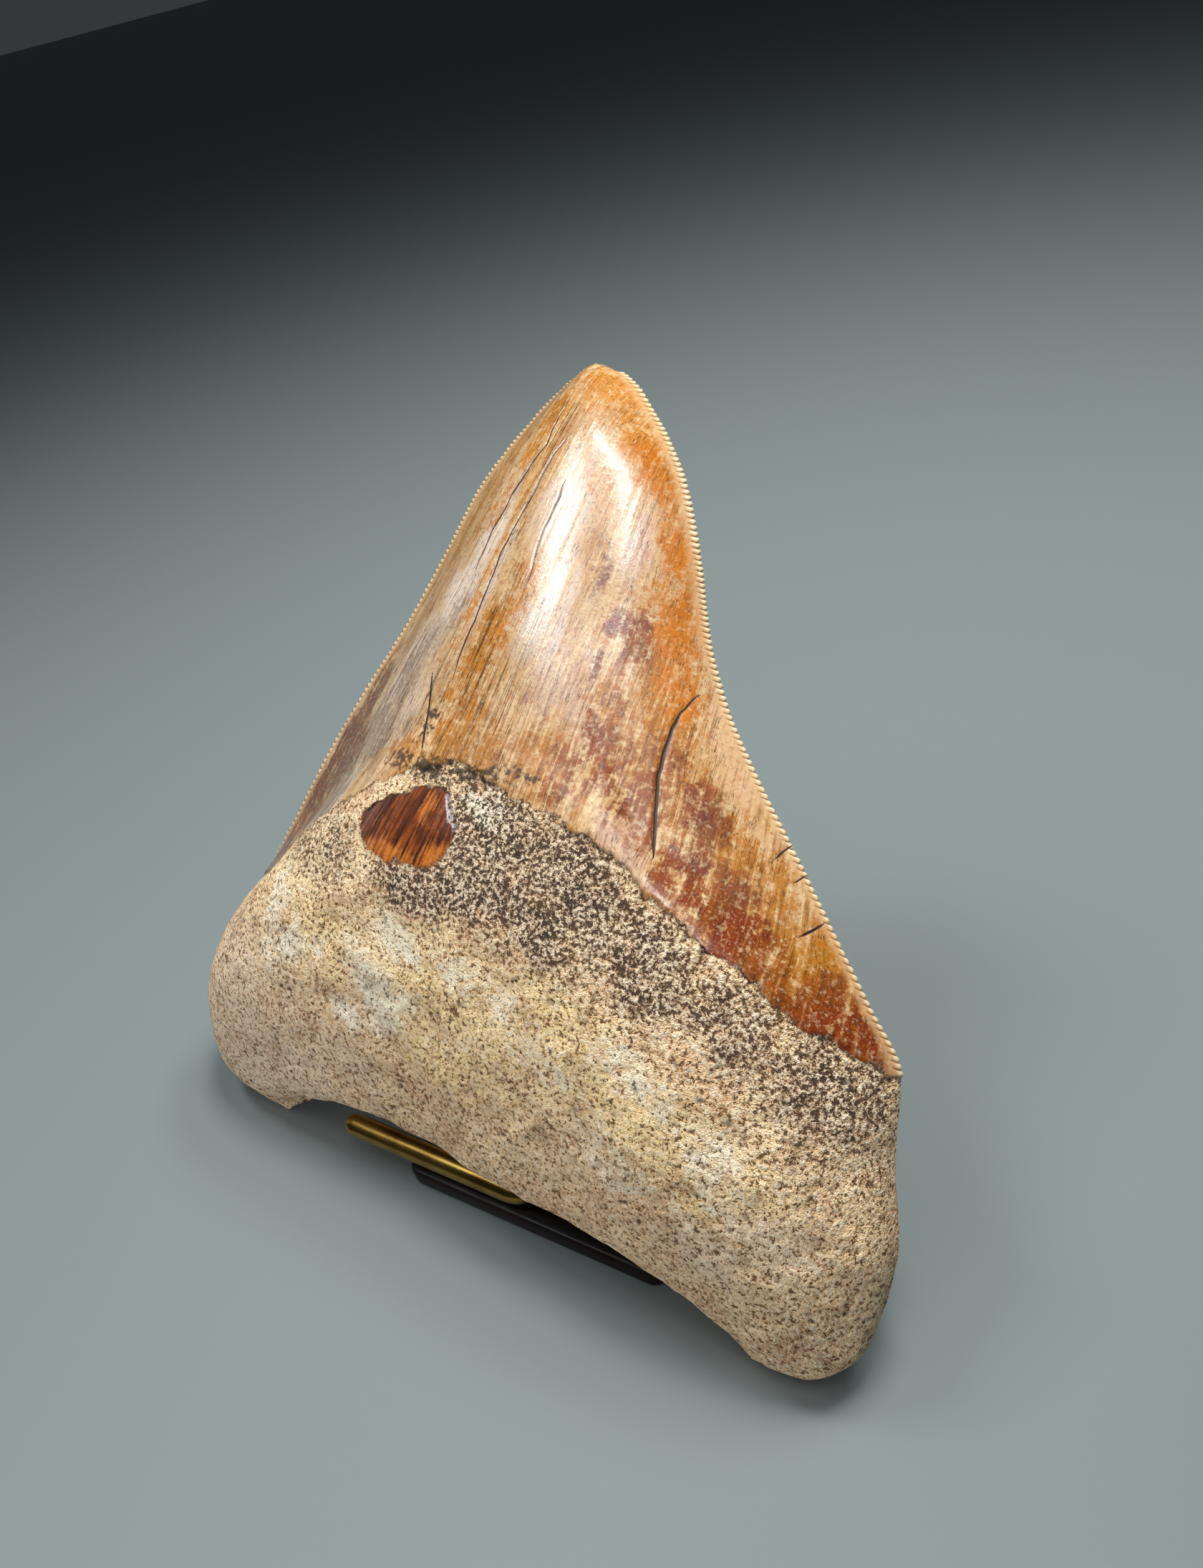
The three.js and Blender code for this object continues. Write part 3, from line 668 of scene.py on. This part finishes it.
def stain_strength(places, ovals):
    strength = np.zeros(len(places))
    for u, v, half_u, half_v, turn, *given in ovals:
        amount = given[0] if given else 1.0
        angle = math.radians(turn)
        du, dv = places[:, 0] - u, places[:, 1] - v
        across = (du * math.cos(angle) + dv * math.sin(angle)) / half_u
        along = (dv * math.cos(angle) - du * math.sin(angle)) / half_v
        oval = amount * (1 - smooth_step(0.2, 1.6, np.hypot(across, along)))
        strength = np.maximum(strength, oval)
    return strength


def dress_skin(skin):
    """Final points of the tooth, and what its material needs to know at each of them."""
    s, t, front = skin.s, skin.t, skin.front
    flat = tooth_point(s, t, front)
    base = vertex_normals(flat, skin.faces)
    border = tooth_point(s, T_CROWN, front)
    above = flat[:, 1] - border[:, 1]
    ragged = above + 0.7 * fractal(flat, 5.0, 11) + 0.5 * fractal(flat, 1.5, 14)
    enamel = smooth_step(-0.15, 0.2, ragged)
    wobble = np.stack([fractal(flat, 2.4, 20 + k, 2) for k in (0, 1)], -1)
    places = flat[:, :2] + 0.18 * wobble

    crack_side = np.zeros(len(s))
    crack_reach = np.zeros(len(s))
    nearest = np.full(len(s), 9.0)
    for width, line in CRACKS:
        signed, along = line_distance(places, line)
        taper = np.sqrt(np.clip(np.minimum(along, 1 - along) * 5 + 0.15, 0, 1))
        closer = (np.abs(signed) < nearest) & front
        nearest = np.where(closer, np.abs(signed), nearest)
        crack_side = np.where(closer, signed, crack_side)
        crack_reach = np.where(closer, width * taper * (np.abs(signed) < CRACK_NEAR), crack_reach)

    patch_places = flat[:, :2] + 0.7 * wobble
    patch = np.where(front, inside_distance(patch_places, DARK_PATCH), -9)
    patch_share = smooth_step(-0.1, 0.4, patch)

    grain = fractal(flat, 1.0, 31, 2)
    pit_distance, pit_own = nearest_cell(flat, 1.9, 41)
    pit = (1 - smooth_step(0.08, 0.30, pit_distance)) * (pit_own > 0.62)
    spread = flat[:, :2] - FIBRE_APEX
    fibre = np.stack([
        np.arctan2(spread[:, 0], -spread[:, 1]) * FIBRE_SPREAD,
        np.linalg.norm(spread, axis=1),
        np.where(front, 0.0, 50.0),
    ], -1)
    streak = fractal(fibre * (1, 0.06, 1), 0.7, 51, 2)
    rough = (1 - enamel) * (1 - patch_share)

    soil = stain_strength(flat[:, :2], STAINS["soil"])
    lumps = fractal(flat, 2.4, 64, 3)
    height = rough * (GRAIN_HEIGHT * grain + (LUMP_HEIGHT + SOIL_LUMP_HEIGHT * soil) * lumps)
    swell = SWELL_HEIGHT * fractal(flat, 15, 71) + KNOB_HEIGHT * fractal(flat, 5, 74)
    height += rough * (swell - PIT_DEPTH * pit)
    height += enamel * (ENAMEL_STEP + ENAMEL_WAVES * fractal(flat, 12, 81, 2) + ENAMEL_STREAKS * streak)
    height += (1 - enamel) * patch_share * (REMNANT_STEP + REMNANT_STREAKS * streak)
    groove = 1 - smooth_step(0, 1, np.abs(crack_side) / np.maximum(crack_reach * CRACK_SPREAD, 1e-6))
    height -= CRACK_DEPTH * np.where(crack_reach > 0, groove * crack_reach, 0)
    height -= SKIN_INSET
    height *= smooth_step(0, EDGE_FADE, skin.strip) * (1 - EDGE_RELIEF) + EDGE_RELIEF

    points = flat + base * height[:, None]
    serrated = (t > T_CROWN) & (t < T_LAST_SERRATION)
    number = (t - T_CROWN) / (T_LAST_SERRATION - T_CROWN) * SERRATIONS
    ahead = tooth_point(np.sign(s), np.minimum(t + 0.002, 1), True) - tooth_point(np.sign(s), t, True)
    outward = np.stack([ahead[:, 1], -ahead[:, 0]], -1) * np.sign(s)[:, None]
    outward /= np.maximum(np.linalg.norm(outward, axis=1, keepdims=True), 1e-9)
    bump = np.abs(np.sin(np.pi * number)) ** 0.6 * SERRATION_DEPTH
    worn = 0.75 + 0.25 * fractal(np.stack([number * 0.9, s * 3, 0 * s], -1), 2.0, 91, 1)
    reach = np.clip(1 - skin.strip / SERRATION_REACH, 0, 1) ** 1.3
    points[:, :2] += outward * (serrated * bump * worn * reach)[:, None]

    low, high = (np.array(corner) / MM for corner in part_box("tooth"))
    placed = np.clip(to_model(points), low, high)
    facts = {
        "place": flat,
        "fibre": fibre,
        "enamel": ragged,
        "crack": crack_side,
        "crack_reach": crack_reach,
        "patch": patch,
        "pit": pit,
        "edge": skin.strip,
        "serration": serrated * bump / SERRATION_DEPTH * reach,
        "tooth": np.where(serrated, bump / SERRATION_DEPTH, 1.0),
        "streaky": 1 - STREAKS_LOST * smooth_step(*STREAKS_FADE, flat[:, 1]),
    }
    waves = np.stack([fractal(flat, STAIN_WAVE, 101 + 3 * k) for k in (0, 1)], -1)
    for name, ovals in STAINS.items():
        facts[name] = stain_strength(flat[:, :2] + STAIN_WARP * waves, ovals)
    return placed, facts


def mesh_piece(name, points, faces, normals=None, facts=None):
    """A smooth mesh object from points in millimetres in the model's axes."""
    used = np.unique(faces)
    order = np.zeros(len(points), int)
    order[used] = np.arange(len(used))
    mesh = bpy.data.meshes.new(name)
    mesh.vertices.add(len(used))
    mesh.vertices.foreach_set("co", (points[used] * MM).astype(np.float32).ravel())
    mesh.loops.add(faces.size)
    mesh.loops.foreach_set("vertex_index", order[faces].astype(np.int32).ravel())
    mesh.polygons.add(len(faces))
    mesh.polygons.foreach_set("loop_start", np.arange(0, faces.size, faces.shape[1], dtype=np.int32))
    mesh.polygons.foreach_set("use_smooth", np.ones(len(faces), bool))
    mesh.update(calc_edges=True)
    if normals is not None:
        mesh.normals_split_custom_set_from_vertices(normals[used].tolist())
    for key, values in (facts or {}).items():
        wide = values.ndim == 2
        layer = mesh.attributes.new(key, "FLOAT_VECTOR" if wide else "FLOAT", "POINT")
        layer.data.foreach_set("vector" if wide else "value", values[used].astype(np.float32).ravel())
    piece = bpy.data.objects.new(name, mesh)
    bpy.context.scene.collection.objects.link(piece)
    return piece


def finish_piece(piece, node, material):
    piece.data.materials.append(material)
    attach(piece, "root")
    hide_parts(node)


class Graph:
    """A material's nodes, made by short calls."""

    def __init__(self, name):
        self.material = bpy.data.materials.new(name)
        self.material.use_nodes = True
        self.tree = self.material.node_tree
        self.shader = self.tree.nodes["Principled BSDF"]

    def feed(self, socket, value):
        if isinstance(value, bpy.types.NodeSocket):
            self.tree.links.new(value, socket)
        else:
            socket.default_value = value

    def set(self, **values):
        """Sets or links the shader's own sockets."""
        for name, value in values.items():
            label = name.replace("_", " ").title().replace("Ior", "IOR")
            self.feed(self.shader.inputs[label], value)

    def fact(self, name, vector=False):
        node = self.tree.nodes.new("ShaderNodeAttribute")
        node.attribute_name = name
        return node.outputs["Vector" if vector else "Fac"]

    def math(self, operation, first, second=0.0, clamp=False):
        node = self.tree.nodes.new("ShaderNodeMath")
        node.operation = operation
        node.use_clamp = clamp
        self.feed(node.inputs[0], first)
        self.feed(node.inputs[1], second)
        return node.outputs[0]

    def step(self, value, low, high, start=0.0, end=1.0):
        node = self.tree.nodes.new("ShaderNodeMapRange")
        node.interpolation_type = "SMOOTHSTEP"
        for socket, given in zip(node.inputs[:5], (value, low, high, start, end)):
            self.feed(socket, given)
        return node.outputs[0]

    def stretch(self, vector, factors):
        node = self.tree.nodes.new("ShaderNodeVectorMath")
        node.operation = "MULTIPLY"
        self.feed(node.inputs[0], vector)
        self.feed(node.inputs[1], factors)
        return node.outputs[0]

    def noise(self, vector, size, detail=3.0, roughness=0.55, distortion=0.0):
        node = self.tree.nodes.new("ShaderNodeTexNoise")
        self.feed(node.inputs["Vector"], vector)
        node.inputs["Scale"].default_value = 1 / size
        node.inputs["Detail"].default_value = detail
        node.inputs["Roughness"].default_value = roughness
        node.inputs["Distortion"].default_value = distortion
        return node.outputs["Fac"]

    def mix(self, share, first, second, blend="MIX"):
        node = self.tree.nodes.new("ShaderNodeMix")
        node.data_type = "RGBA"
        node.blend_type = blend
        self.feed(node.inputs["Factor"], share)
        for socket, value in ((node.inputs[6], first), (node.inputs[7], second)):
            self.feed(socket, value)
        return node.outputs[2]

    def bump(self, height, distance, strength=1.0, normal=None):
        node = self.tree.nodes.new("ShaderNodeBump")
        self.feed(node.inputs["Height"], height)
        node.inputs["Distance"].default_value = distance
        node.inputs["Strength"].default_value = strength
        if normal is not None:
            self.feed(node.inputs["Normal"], normal)
        return node.outputs["Normal"]


def tint(red, green, blue, scale=1.0):
    """A colour as seen on a screen, from 0 to 255, as the light it reflects."""
    def linear(value):
        value = value / 255
        return (value / 12.92 if value <= 0.04045 else ((value + 0.055) / 1.055) ** 2.4) * scale
    return (linear(red), linear(green), linear(blue), 1.0)


def paint(name):
    return tint(*COLOURS[name])


class ToothGraph(Graph):
    """The tooth's nodes, with its noises by name and its stains and flecks."""

    def __init__(self):
        super().__init__("fossil_tooth")
        place, fibre = self.fact("place", True), self.fact("fibre", True)
        self.noises = {}
        for name, (size, detail, roughness, kept) in NOISES.items():
            where = self.stretch(fibre, (1, kept, 1)) if kept else place
            self.noises[name] = self.noise(where, size, detail, roughness)

    def times(self, first, second, clamp=False):
        return self.math("MULTIPLY", first, second, clamp)

    def plus(self, first, second, clamp=False):
        return self.math("ADD", first, second, clamp)

    def minus(self, first, second):
        return self.math("SUBTRACT", first, second)

    def uneven(self, name, weight):
        """A noise about zero."""
        return self.times(self.minus(self.noises[name], 0.5), weight)

    def stain(self, name, streaky, mottled, amount):
        """A stain's share, drawn out along the growth lines and mottled."""
        share = self.fact(name)
        weights = {
            "streaks": streaky,
            "threads": streaky,
            "fine": mottled,
            "middle": 1.2 * mottled,
            "speck": 0.3 * mottled,
        }
        for noise, weight in weights.items():
            if weight:
                share = self.plus(share, self.uneven(noise, weight))
        return self.times(self.step(share, -0.05, 1.0, 0, amount), self.step(self.fact(name), 0.02, 0.35))

    def stained(self, colour, layers):
        for name, streaky, mottled, amount, tone in layers:
            colour = self.mix(self.stain(name, streaky, mottled, amount), colour, tint(*tone))
        return colour

    def flecked(self, colour, flecks):
        for name, low, high, amount, share, tone in flecks:
            fleck = tint(*tone) if share == 1 else self.mix(share, colour, tint(*tone))
            colour = self.mix(self.step(self.noises[name], low, high, 0, amount), colour, fleck)
        return colour


def crown_colour(g):
    crown = g.mix(g.step(g.noises["bands"], 0.38, 0.62), paint("crown"), paint("crown_band"))
    crown = g.flecked(crown, CROWN_GROUND)
    crown = g.stained(crown, CROWN_LAYERS)
    crown = g.flecked(crown, CROWN_THREADS)
    drawn = g.times(g.step(g.noises["threads"], 0.52, 0.62, 0, 0.7), g.fact("streaky"))
    crown = g.mix(drawn, crown, g.mix(0.6, crown, paint("dark_thread")))
    lined = g.step(g.plus(g.fact("lined"), g.uneven("middle", 2.0)), 0.3, 0.8)
    for level, width in LONG_HAIRS:
        off = g.math("ABSOLUTE", g.minus(g.noises["long_lines"], level))
        crown = g.mix(g.times(g.step(off, 0.2 * width, width, 0.8, 0.0), lined), crown, paint("long_hair"))
    for level, width, amount, patchy in SHORT_HAIRS:
        off = g.math("ABSOLUTE", g.minus(g.noises["streaks"], level))
        hair = g.times(g.step(off, 0.0, width, amount, 0.0), g.step(g.noises[patchy], 0.44, 0.54))
        crown = g.mix(hair, crown, paint("short_hair"))
    crown = g.flecked(crown, CROWN_FLECKS)
    crown = g.mix(g.step(g.fact("edge"), 2.2, 0.6, 0, 0.6), crown, paint("rim"))
    # Darker in the notches between the serrations: painted shade in their gaps.
    notch = g.times(g.step(g.fact("edge"), 0.95, 0.6), g.step(g.fact("tooth"), 0.5, 0.2, 0, 0.7))
    crown = g.mix(notch, crown, paint("notch"))
    crown = g.mix(g.step(g.fact("serration"), 0.2, 0.7, 0, 0.85), crown, paint("serration"))
    return g.mix(CROWN_SHADE_SHARE, crown, CROWN_SHADE, "MULTIPLY")


def root_colour(g):
    root = g.mix(g.step(g.noises["broad"], 0.38, 0.62), paint("root"), paint("root_pale"))
    root = g.flecked(root, ROOT_GROUND)
    root = g.stained(root, ROOT_LAYERS)
    rusty = g.times(g.step(g.noises["flake"], 0.54, 0.66, 0, 0.65), g.fact("ochre"))
    root = g.mix(rusty, root, paint("rusty"))
    root = g.flecked(root, ROOT_FLECKS)
    # Dark between the grains and in small specks, more of it where the soil is: partly dark soil, partly
    # painted shade in the gaps between the grains.
    soil = g.plus(g.fact("soil"), g.uneven("middle", 1.0), clamp=True)
    dark = g.mix(soil, paint("root_dark_and_shade"), paint("soil_dark_and_shade"))
    level = g.plus(g.step(soil, 0, 1, 0.425, 0.495), g.uneven("flake", 0.2))
    level = g.minus(level, g.times(g.fact("chalk"), 0.03))
    root = g.mix(g.step(g.minus(g.noises["grain"], level), 0.02, -0.025, 0, 0.95), root, dark)
    root = g.mix(g.step(g.noises["speck"], 0.59, 0.66, 0, 0.8), root, dark)
    return g.mix(g.times(g.fact("pit"), 0.6), root, paint("pit"))


def remnant_colour(g):
    """The smooth dark remnant at the top of the root, with its glowing lower edge."""
    glow = g.plus(g.plus(g.fact("ember"), g.uneven("threads", 3.0)), g.uneven("fine", 1.2))
    glow = g.times(g.step(glow, 0.2, 1.2), g.step(g.fact("ember"), 0.0, 0.4))
    thread = g.step(g.noises["threads"], 0.38, 0.62, 0, 0.9)
    colour = g.mix(thread, paint("remnant"), paint("remnant_thread"))
    colour = g.flecked(colour, REMNANT_FLECKS)
    colour = g.mix(g.times(glow, 0.85), colour, paint("ember"))
    return g.flecked(colour, REMNANT_SPECKS)


def border_marks(g, colour, border):
    """Grit above the border, the dark line along it, which is partly a dark border line and partly painted
    shadow under the enamel's edge, and the cracks.
    """
    grit = g.step(g.plus(g.fact("grit"), g.uneven("fine", 4.0)), 0.4, 0.9, 0, 0.9)
    colour = g.mix(g.times(grit, g.step(g.fact("grit"), 0.02, 0.3)), colour, paint("grit"))
    # The dark line along the border: partly a dark border line, partly painted shadow under the enamel's
    # edge.
    lip = g.times(g.step(border, -0.45, -0.05), g.step(border, 0.15, -0.05))
    # The line is darker where the ovals of painted shadow under the enamel's overhanging edge lie.
    lip_share = g.plus(g.step(g.fact("overhang_shadow"), 0, 0.5, 0.3, 1.0), g.uneven("middle", 2.0))
    colour = g.mix(g.times(lip, lip_share, clamp=True), colour, paint("lip"))
    off = g.minus(g.math("ABSOLUTE", g.fact("crack")), g.times(g.fact("crack_reach"), 0.5))
    present = g.math("GREATER_THAN", g.fact("crack_reach"), 0.01)
    return g.mix(g.times(g.step(off, 0.06, -0.04), present), colour, paint("crack"))


def tooth_material():
    g = ToothGraph()
    remnant = g.step(g.plus(g.fact("patch"), g.uneven("fine", 1.6)), -0.2, 0.3)
    border = g.plus(g.fact("enamel"), g.uneven("fine", 2.2))
    enamel = g.step(border, -0.06, 0.10)
    root = g.mix(remnant, root_colour(g), remnant_colour(g))
    colour = border_marks(g, g.mix(enamel, root, crown_colour(g)), border)

    shiny = g.math("MAXIMUM", remnant, enamel)
    enamel_gloss = g.plus(g.step(g.noises["fine"], 0.3, 0.7, 0.24, 0.34), g.times(g.fact("worn"), 0.26))
    root_gloss = g.step(g.noises["middle"], 0.3, 0.7, 0.7, 0.9)
    rough = g.plus(g.times(g.noises["grain"], 3.2), g.times(g.noises["fine"], 2.6))
    smooth = g.plus(g.times(g.noises["speck"], 0.07), g.times(g.noises["threads"], 0.05))
    relief = g.plus(g.times(rough, g.minus(1.0, shiny)), g.times(smooth, shiny))
    g.set(
        base_color=colour,
        roughness=g.mix(shiny, root_gloss, enamel_gloss),
        ior=1.5,
        coat_weight=g.times(shiny, g.step(g.fact("worn"), 0.0, 0.8, 0.6, 0.1)),
        coat_roughness=COAT_ROUGHNESS,
        coat_normal=g.bump(g.noises["speck"], COAT_RELIEF * MM),
        normal=g.bump(relief, FINE_RELIEF * MM),
    )
    return g.material


def wood_material():
    g = Graph("dark_wood")
    place = g.tree.nodes.new("ShaderNodeTexCoord").outputs["Object"]
    grain = g.noise(g.stretch(place, (0.12, 1, 1)), 1.1 * MM, 5, 0.65, 0.4)
    colour = g.mix(g.step(grain, 0.35, 0.7), paint("wood_dark"), paint("wood_light"))
    g.set(
        base_color=colour,
        roughness=g.step(grain, 0.3, 0.7, 0.35, 0.5),
        specular_ior_level=0.2,
        normal=g.bump(grain, 0.06 * MM),
    )
    return g.material


def brass_material():
    g = Graph("brass")
    place = g.tree.nodes.new("ShaderNodeTexCoord").outputs["Object"]
    cloud = g.noise(place, 6 * MM, 4, 0.6)
    fine = g.noise(g.stretch(place, (0.06, 1, 1)), 1.2 * MM, 3, 0.5)
    colour = g.mix(g.step(cloud, 0.35, 0.7), paint("brass_light"), paint("brass_dark"))
    g.set(
        base_color=colour,
        metallic=1.0,
        roughness=g.step(fine, 0.3, 0.7, 0.20, 0.32),
        normal=g.bump(fine, 0.03 * MM),
    )
    return g.material


def floor_material():
    g = Graph("plain_floor")
    g.set(base_color=paint("floor"), roughness=0.6)
    return g.material


def on_stand(points):
    """From the stand's own axes to the model's."""
    x, y, z = points[:, 0], points[:, 1], points[:, 2]
    sin, cos = math.sin(STAND_TURN), math.cos(STAND_TURN)
    return np.stack([x * cos - y * sin, x * sin + y * cos, z], -1) + STAND_PLACE


def tube_rings(centres, radii, side=(0, 0, 1)):
    """Rings of points along a line, and the quads between them."""
    centres = np.array(centres, float)
    runs = np.gradient(centres, axis=0)
    runs /= np.linalg.norm(runs, axis=1, keepdims=True)
    first = np.cross(runs, np.array(side, float))
    first /= np.linalg.norm(first, axis=1, keepdims=True)
    second = np.cross(runs, first)
    angles = np.linspace(0, 2 * math.pi, BAR_SIDES, endpoint=False)
    ring = np.cos(angles)[None, :, None] * first[:, None] + np.sin(angles)[None, :, None] * second[:, None]
    points = centres[:, None] + ring * np.array(radii)[:, None, None]
    ids = np.arange(points.shape[0] * BAR_SIDES).reshape(-1, BAR_SIDES)
    around = np.roll(ids, -1, axis=1)
    faces = np.stack([ids[:-1], ids[1:], around[1:], around[:-1]], -1).reshape(-1, 4)
    return points.reshape(-1, 3), faces


def capped_line(line, radius, start=True, end=True):
    """Centres and radii of a round bar along a line, rounded at its ends."""
    line = [np.array(point, float) for point in line]
    centres, radii = list(line), [radius] * len(line)
    steps = np.linspace(0.04, 1, 9)[::-1]
    for wanted, at_start in ((start, True), (end, False)):
        if not wanted:
            continue
        tip, inner = (line[0], line[1]) if at_start else (line[-1], line[-2])
        out = (tip - inner) / np.linalg.norm(tip - inner)
        cap = [(tip + out * radius * math.sqrt(1 - q * q), radius * q) for q in steps[1:]]
        cap.append((tip + out * radius, TIP_RADIUS))
        if at_start:
            cap = cap[::-1]
            centres = [point for point, _ in cap] + centres
            radii = [size for _, size in cap] + radii
        else:
            centres += [point for point, _ in cap]
            radii += [size for _, size in cap]
    return centres, radii


def joined(parts):
    points, faces, count = [], [], 0
    for some_points, some_faces in parts:
        points.append(some_points)
        faces.append(some_faces + count)
        count += len(some_points)
    return np.concatenate(points), np.concatenate(faces)


def turned(profile, x, y):
    """A turned part about an upright axis: radius and height of each ring."""
    centres = [(x, y, height) for _, height in profile]
    return tube_rings(centres, [radius for radius, _ in profile], side=(1, 0, 0))


def in_box(points, node):
    low, high = (np.array(corner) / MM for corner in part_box(node))
    return np.clip(points, low, high)


def cradle_piece(material):
    arm = [(x, BAR_BACK, BAR_HEIGHT) for x in np.linspace(BAR_RADIUS - ARM_REACH, -BEND_RADIUS, 60)]
    q = np.linspace(0, 1, 24)[1:]
    bend = [(-BEND_RADIUS * (1 - k) ** 2, BAR_BACK + BEND_RADIUS * k * k, BAR_HEIGHT) for k in q]
    stem = [(0, y, BAR_HEIGHT) for y in np.linspace(BAR_BACK + BEND_RADIUS, FOOT_BACK, 10)[1:]]
    bar = tube_rings(*capped_line(arm + bend + stem, BAR_RADIUS))
    low, radius = PLATE_HEIGHT + GAP, BAR_RADIUS
    foot = turned(
        [(TIP_RADIUS, low), (1.5 * radius, low), (1.6 * radius, low + 0.15), (1.58 * radius, low + 0.5),
         (1.42 * radius, low + 0.9), (1.32 * radius, low + 1.5), (1.2 * radius, BAR_HEIGHT),
         (TIP_RADIUS, BAR_HEIGHT + 0.1)],
        0, FOOT_BACK,
    )
    points, faces = joined([bar, foot])
    piece = mesh_piece("cradle", in_box(on_stand(points), "stand_cradle"), faces)
    finish_piece(piece, "stand_cradle", material)


def back_rest_piece(material):
    low, radius = PLATE_HEIGHT + GAP, POST_RADIUS
    post = turned(
        [(TIP_RADIUS, low), (1.6 * radius, low), (1.7 * radius, low + 0.15), (1.68 * radius, low + 0.6),
         (1.45 * radius, low + 1.3), (1.32 * radius, low + 2.0), (1.28 * radius, low + 2.2),
         (1.08 * radius, low + 2.5), (radius, low + 3.2), (0.93 * radius, 15), (0.86 * radius, 25),
         (0.78 * radius, REST_HEIGHT - 3.5), (0.85 * radius, REST_HEIGHT - 2.2),
         (0.9 * radius, REST_HEIGHT - 1.2), (0.6 * radius, REST_HEIGHT), (TIP_RADIUS, REST_HEIGHT + 0.2)],
        0, POST_BACK,
    )
    reach = REST_HALF - BAR_RADIUS
    line = [(x, POST_BACK, REST_HEIGHT) for x in np.linspace(-reach, reach, 40)]
    bar = tube_rings(*capped_line(line, BAR_RADIUS))
    points, faces = joined([post, bar])
    piece = mesh_piece("back_rest", in_box(on_stand(points), "stand_back_rest"), faces)
    finish_piece(piece, "stand_back_rest", material)


def plate_piece(material):
    """A flat plate with rounded corners and softened edges."""
    half_width, half_depth = PLATE_WIDTH / 2, PLATE_DEPTH / 2
    angles = np.linspace(0, math.pi / 2, 9)

    def ring(inset, height):
        r = PLATE_CORNER - inset
        outline = []
        for quarter, (sx, sy) in enumerate(((1, 1), (-1, 1), (-1, -1), (1, -1))):
            for angle in angles + quarter * math.pi / 2:
                outline.append((
                    sx * (half_width - PLATE_CORNER) + r * math.cos(angle),
                    sy * (half_depth - PLATE_CORNER) + r * math.sin(angle) + half_depth,
                    height,
                ))
        return outline

    rounding = [(PLATE_EDGE * (1 - math.sin(a)), PLATE_EDGE * (1 - math.cos(a)))
                for a in np.linspace(0, math.pi / 2, 6)]
    rings = [ring(PLATE_INSET, 0.0)]
    rings += [ring(inset, height) for inset, height in rounding]
    rings += [ring(height, PLATE_HEIGHT - inset) for inset, height in rounding]
    rings.append(ring(PLATE_INSET, PLATE_HEIGHT))
    sides = len(rings[0])
    points = np.array(rings, float).reshape(-1, 3)
    ids = np.arange(len(rings) * sides).reshape(len(rings), sides)
    around = np.roll(ids, -1, axis=1)
    faces = np.stack([ids[:-1], around[:-1], around[1:], ids[1:]], -1).reshape(-1, 4)
    piece = mesh_piece("plate", in_box(on_stand(points), "stand_plate"), faces)
    fill_caps(piece.data, ids[0][::-1], ids[-1])
    finish_piece(piece, "stand_plate", material)


def fill_caps(mesh, *loops):
    work = bmesh.new()
    work.from_mesh(mesh)
    work.verts.ensure_lookup_table()
    for loop in loops:
        work.faces.new([work.verts[k] for k in loop])
    work.to_mesh(mesh)
    work.free()


def tooth_pieces(material):
    skin = build_skin()
    points, facts = dress_skin(skin)
    normals = vertex_normals(points, skin.faces)
    lowest_row = skin.t[skin.faces].min(axis=1)
    crown = lowest_row >= T_CROWN - 1e-6
    for name, chosen in (("tooth_root", ~crown), ("tooth_crown", crown)):
        piece = mesh_piece(name, points, skin.faces[chosen], normals, facts)
        print(name, int(chosen.sum()), "triangles")
        finish_piece(piece, "tooth", material)


def lamp(name, place, target, size, power, seen_by):
    """A soft rectangular light; seen_by says whether it lights surfaces or only shows in their gloss."""
    data = bpy.data.lights.new(name, "AREA")
    data.shape = "RECTANGLE"
    data.size, data.size_y = size[0] * MM, size[1] * MM
    data.energy = power
    data.color = GLEAM_COLOUR if seen_by == "gloss" else LAMP_COLOUR
    light = bpy.data.objects.new(name, data)
    light.location = Vector(place) * MM
    light.rotation_euler = (Vector(target) - Vector(place)).to_track_quat("-Z", "Y").to_euler()
    light.visible_diffuse = seen_by != "gloss"
    light.visible_glossy = seen_by != "surface"
    bpy.context.scene.collection.objects.link(light)


def studio():
    half = FLOOR_HALF
    corners = np.array([(-half, -half, 0), (half, -half, 0), (half, half, 0), (-half, half, 0)], float)
    floor = mesh_piece("floor", corners - (0, 0, FLOOR_DROP), np.array([[0, 1, 2, 3]]))
    floor.data.materials.append(floor_material())
    for given in LAMPS:
        lamp(*given, "surface")
    for number, (across, back, width, depth, power) in enumerate(GLEAMS):
        place = (across, back, GLEAM_HEIGHT)
        lamp(f"gleam_{number}", place, (across, back, 0), (width, depth), power, "gloss")
    lamp(*PALE_WALL, "gloss")
    world = bpy.data.worlds.new("studio")
    world.use_nodes = True
    backdrop = world.node_tree.nodes["Background"]
    backdrop.inputs["Color"].default_value = SKY_COLOUR
    backdrop.inputs["Strength"].default_value = SKY_STRENGTH
    bpy.context.scene.world = world
    bpy.context.scene.view_settings.view_transform = "Standard"


camera()
studio()
tooth_pieces(tooth_material())
brass = brass_material()
cradle_piece(brass)
back_rest_piece(brass)
plate_piece(wood_material())
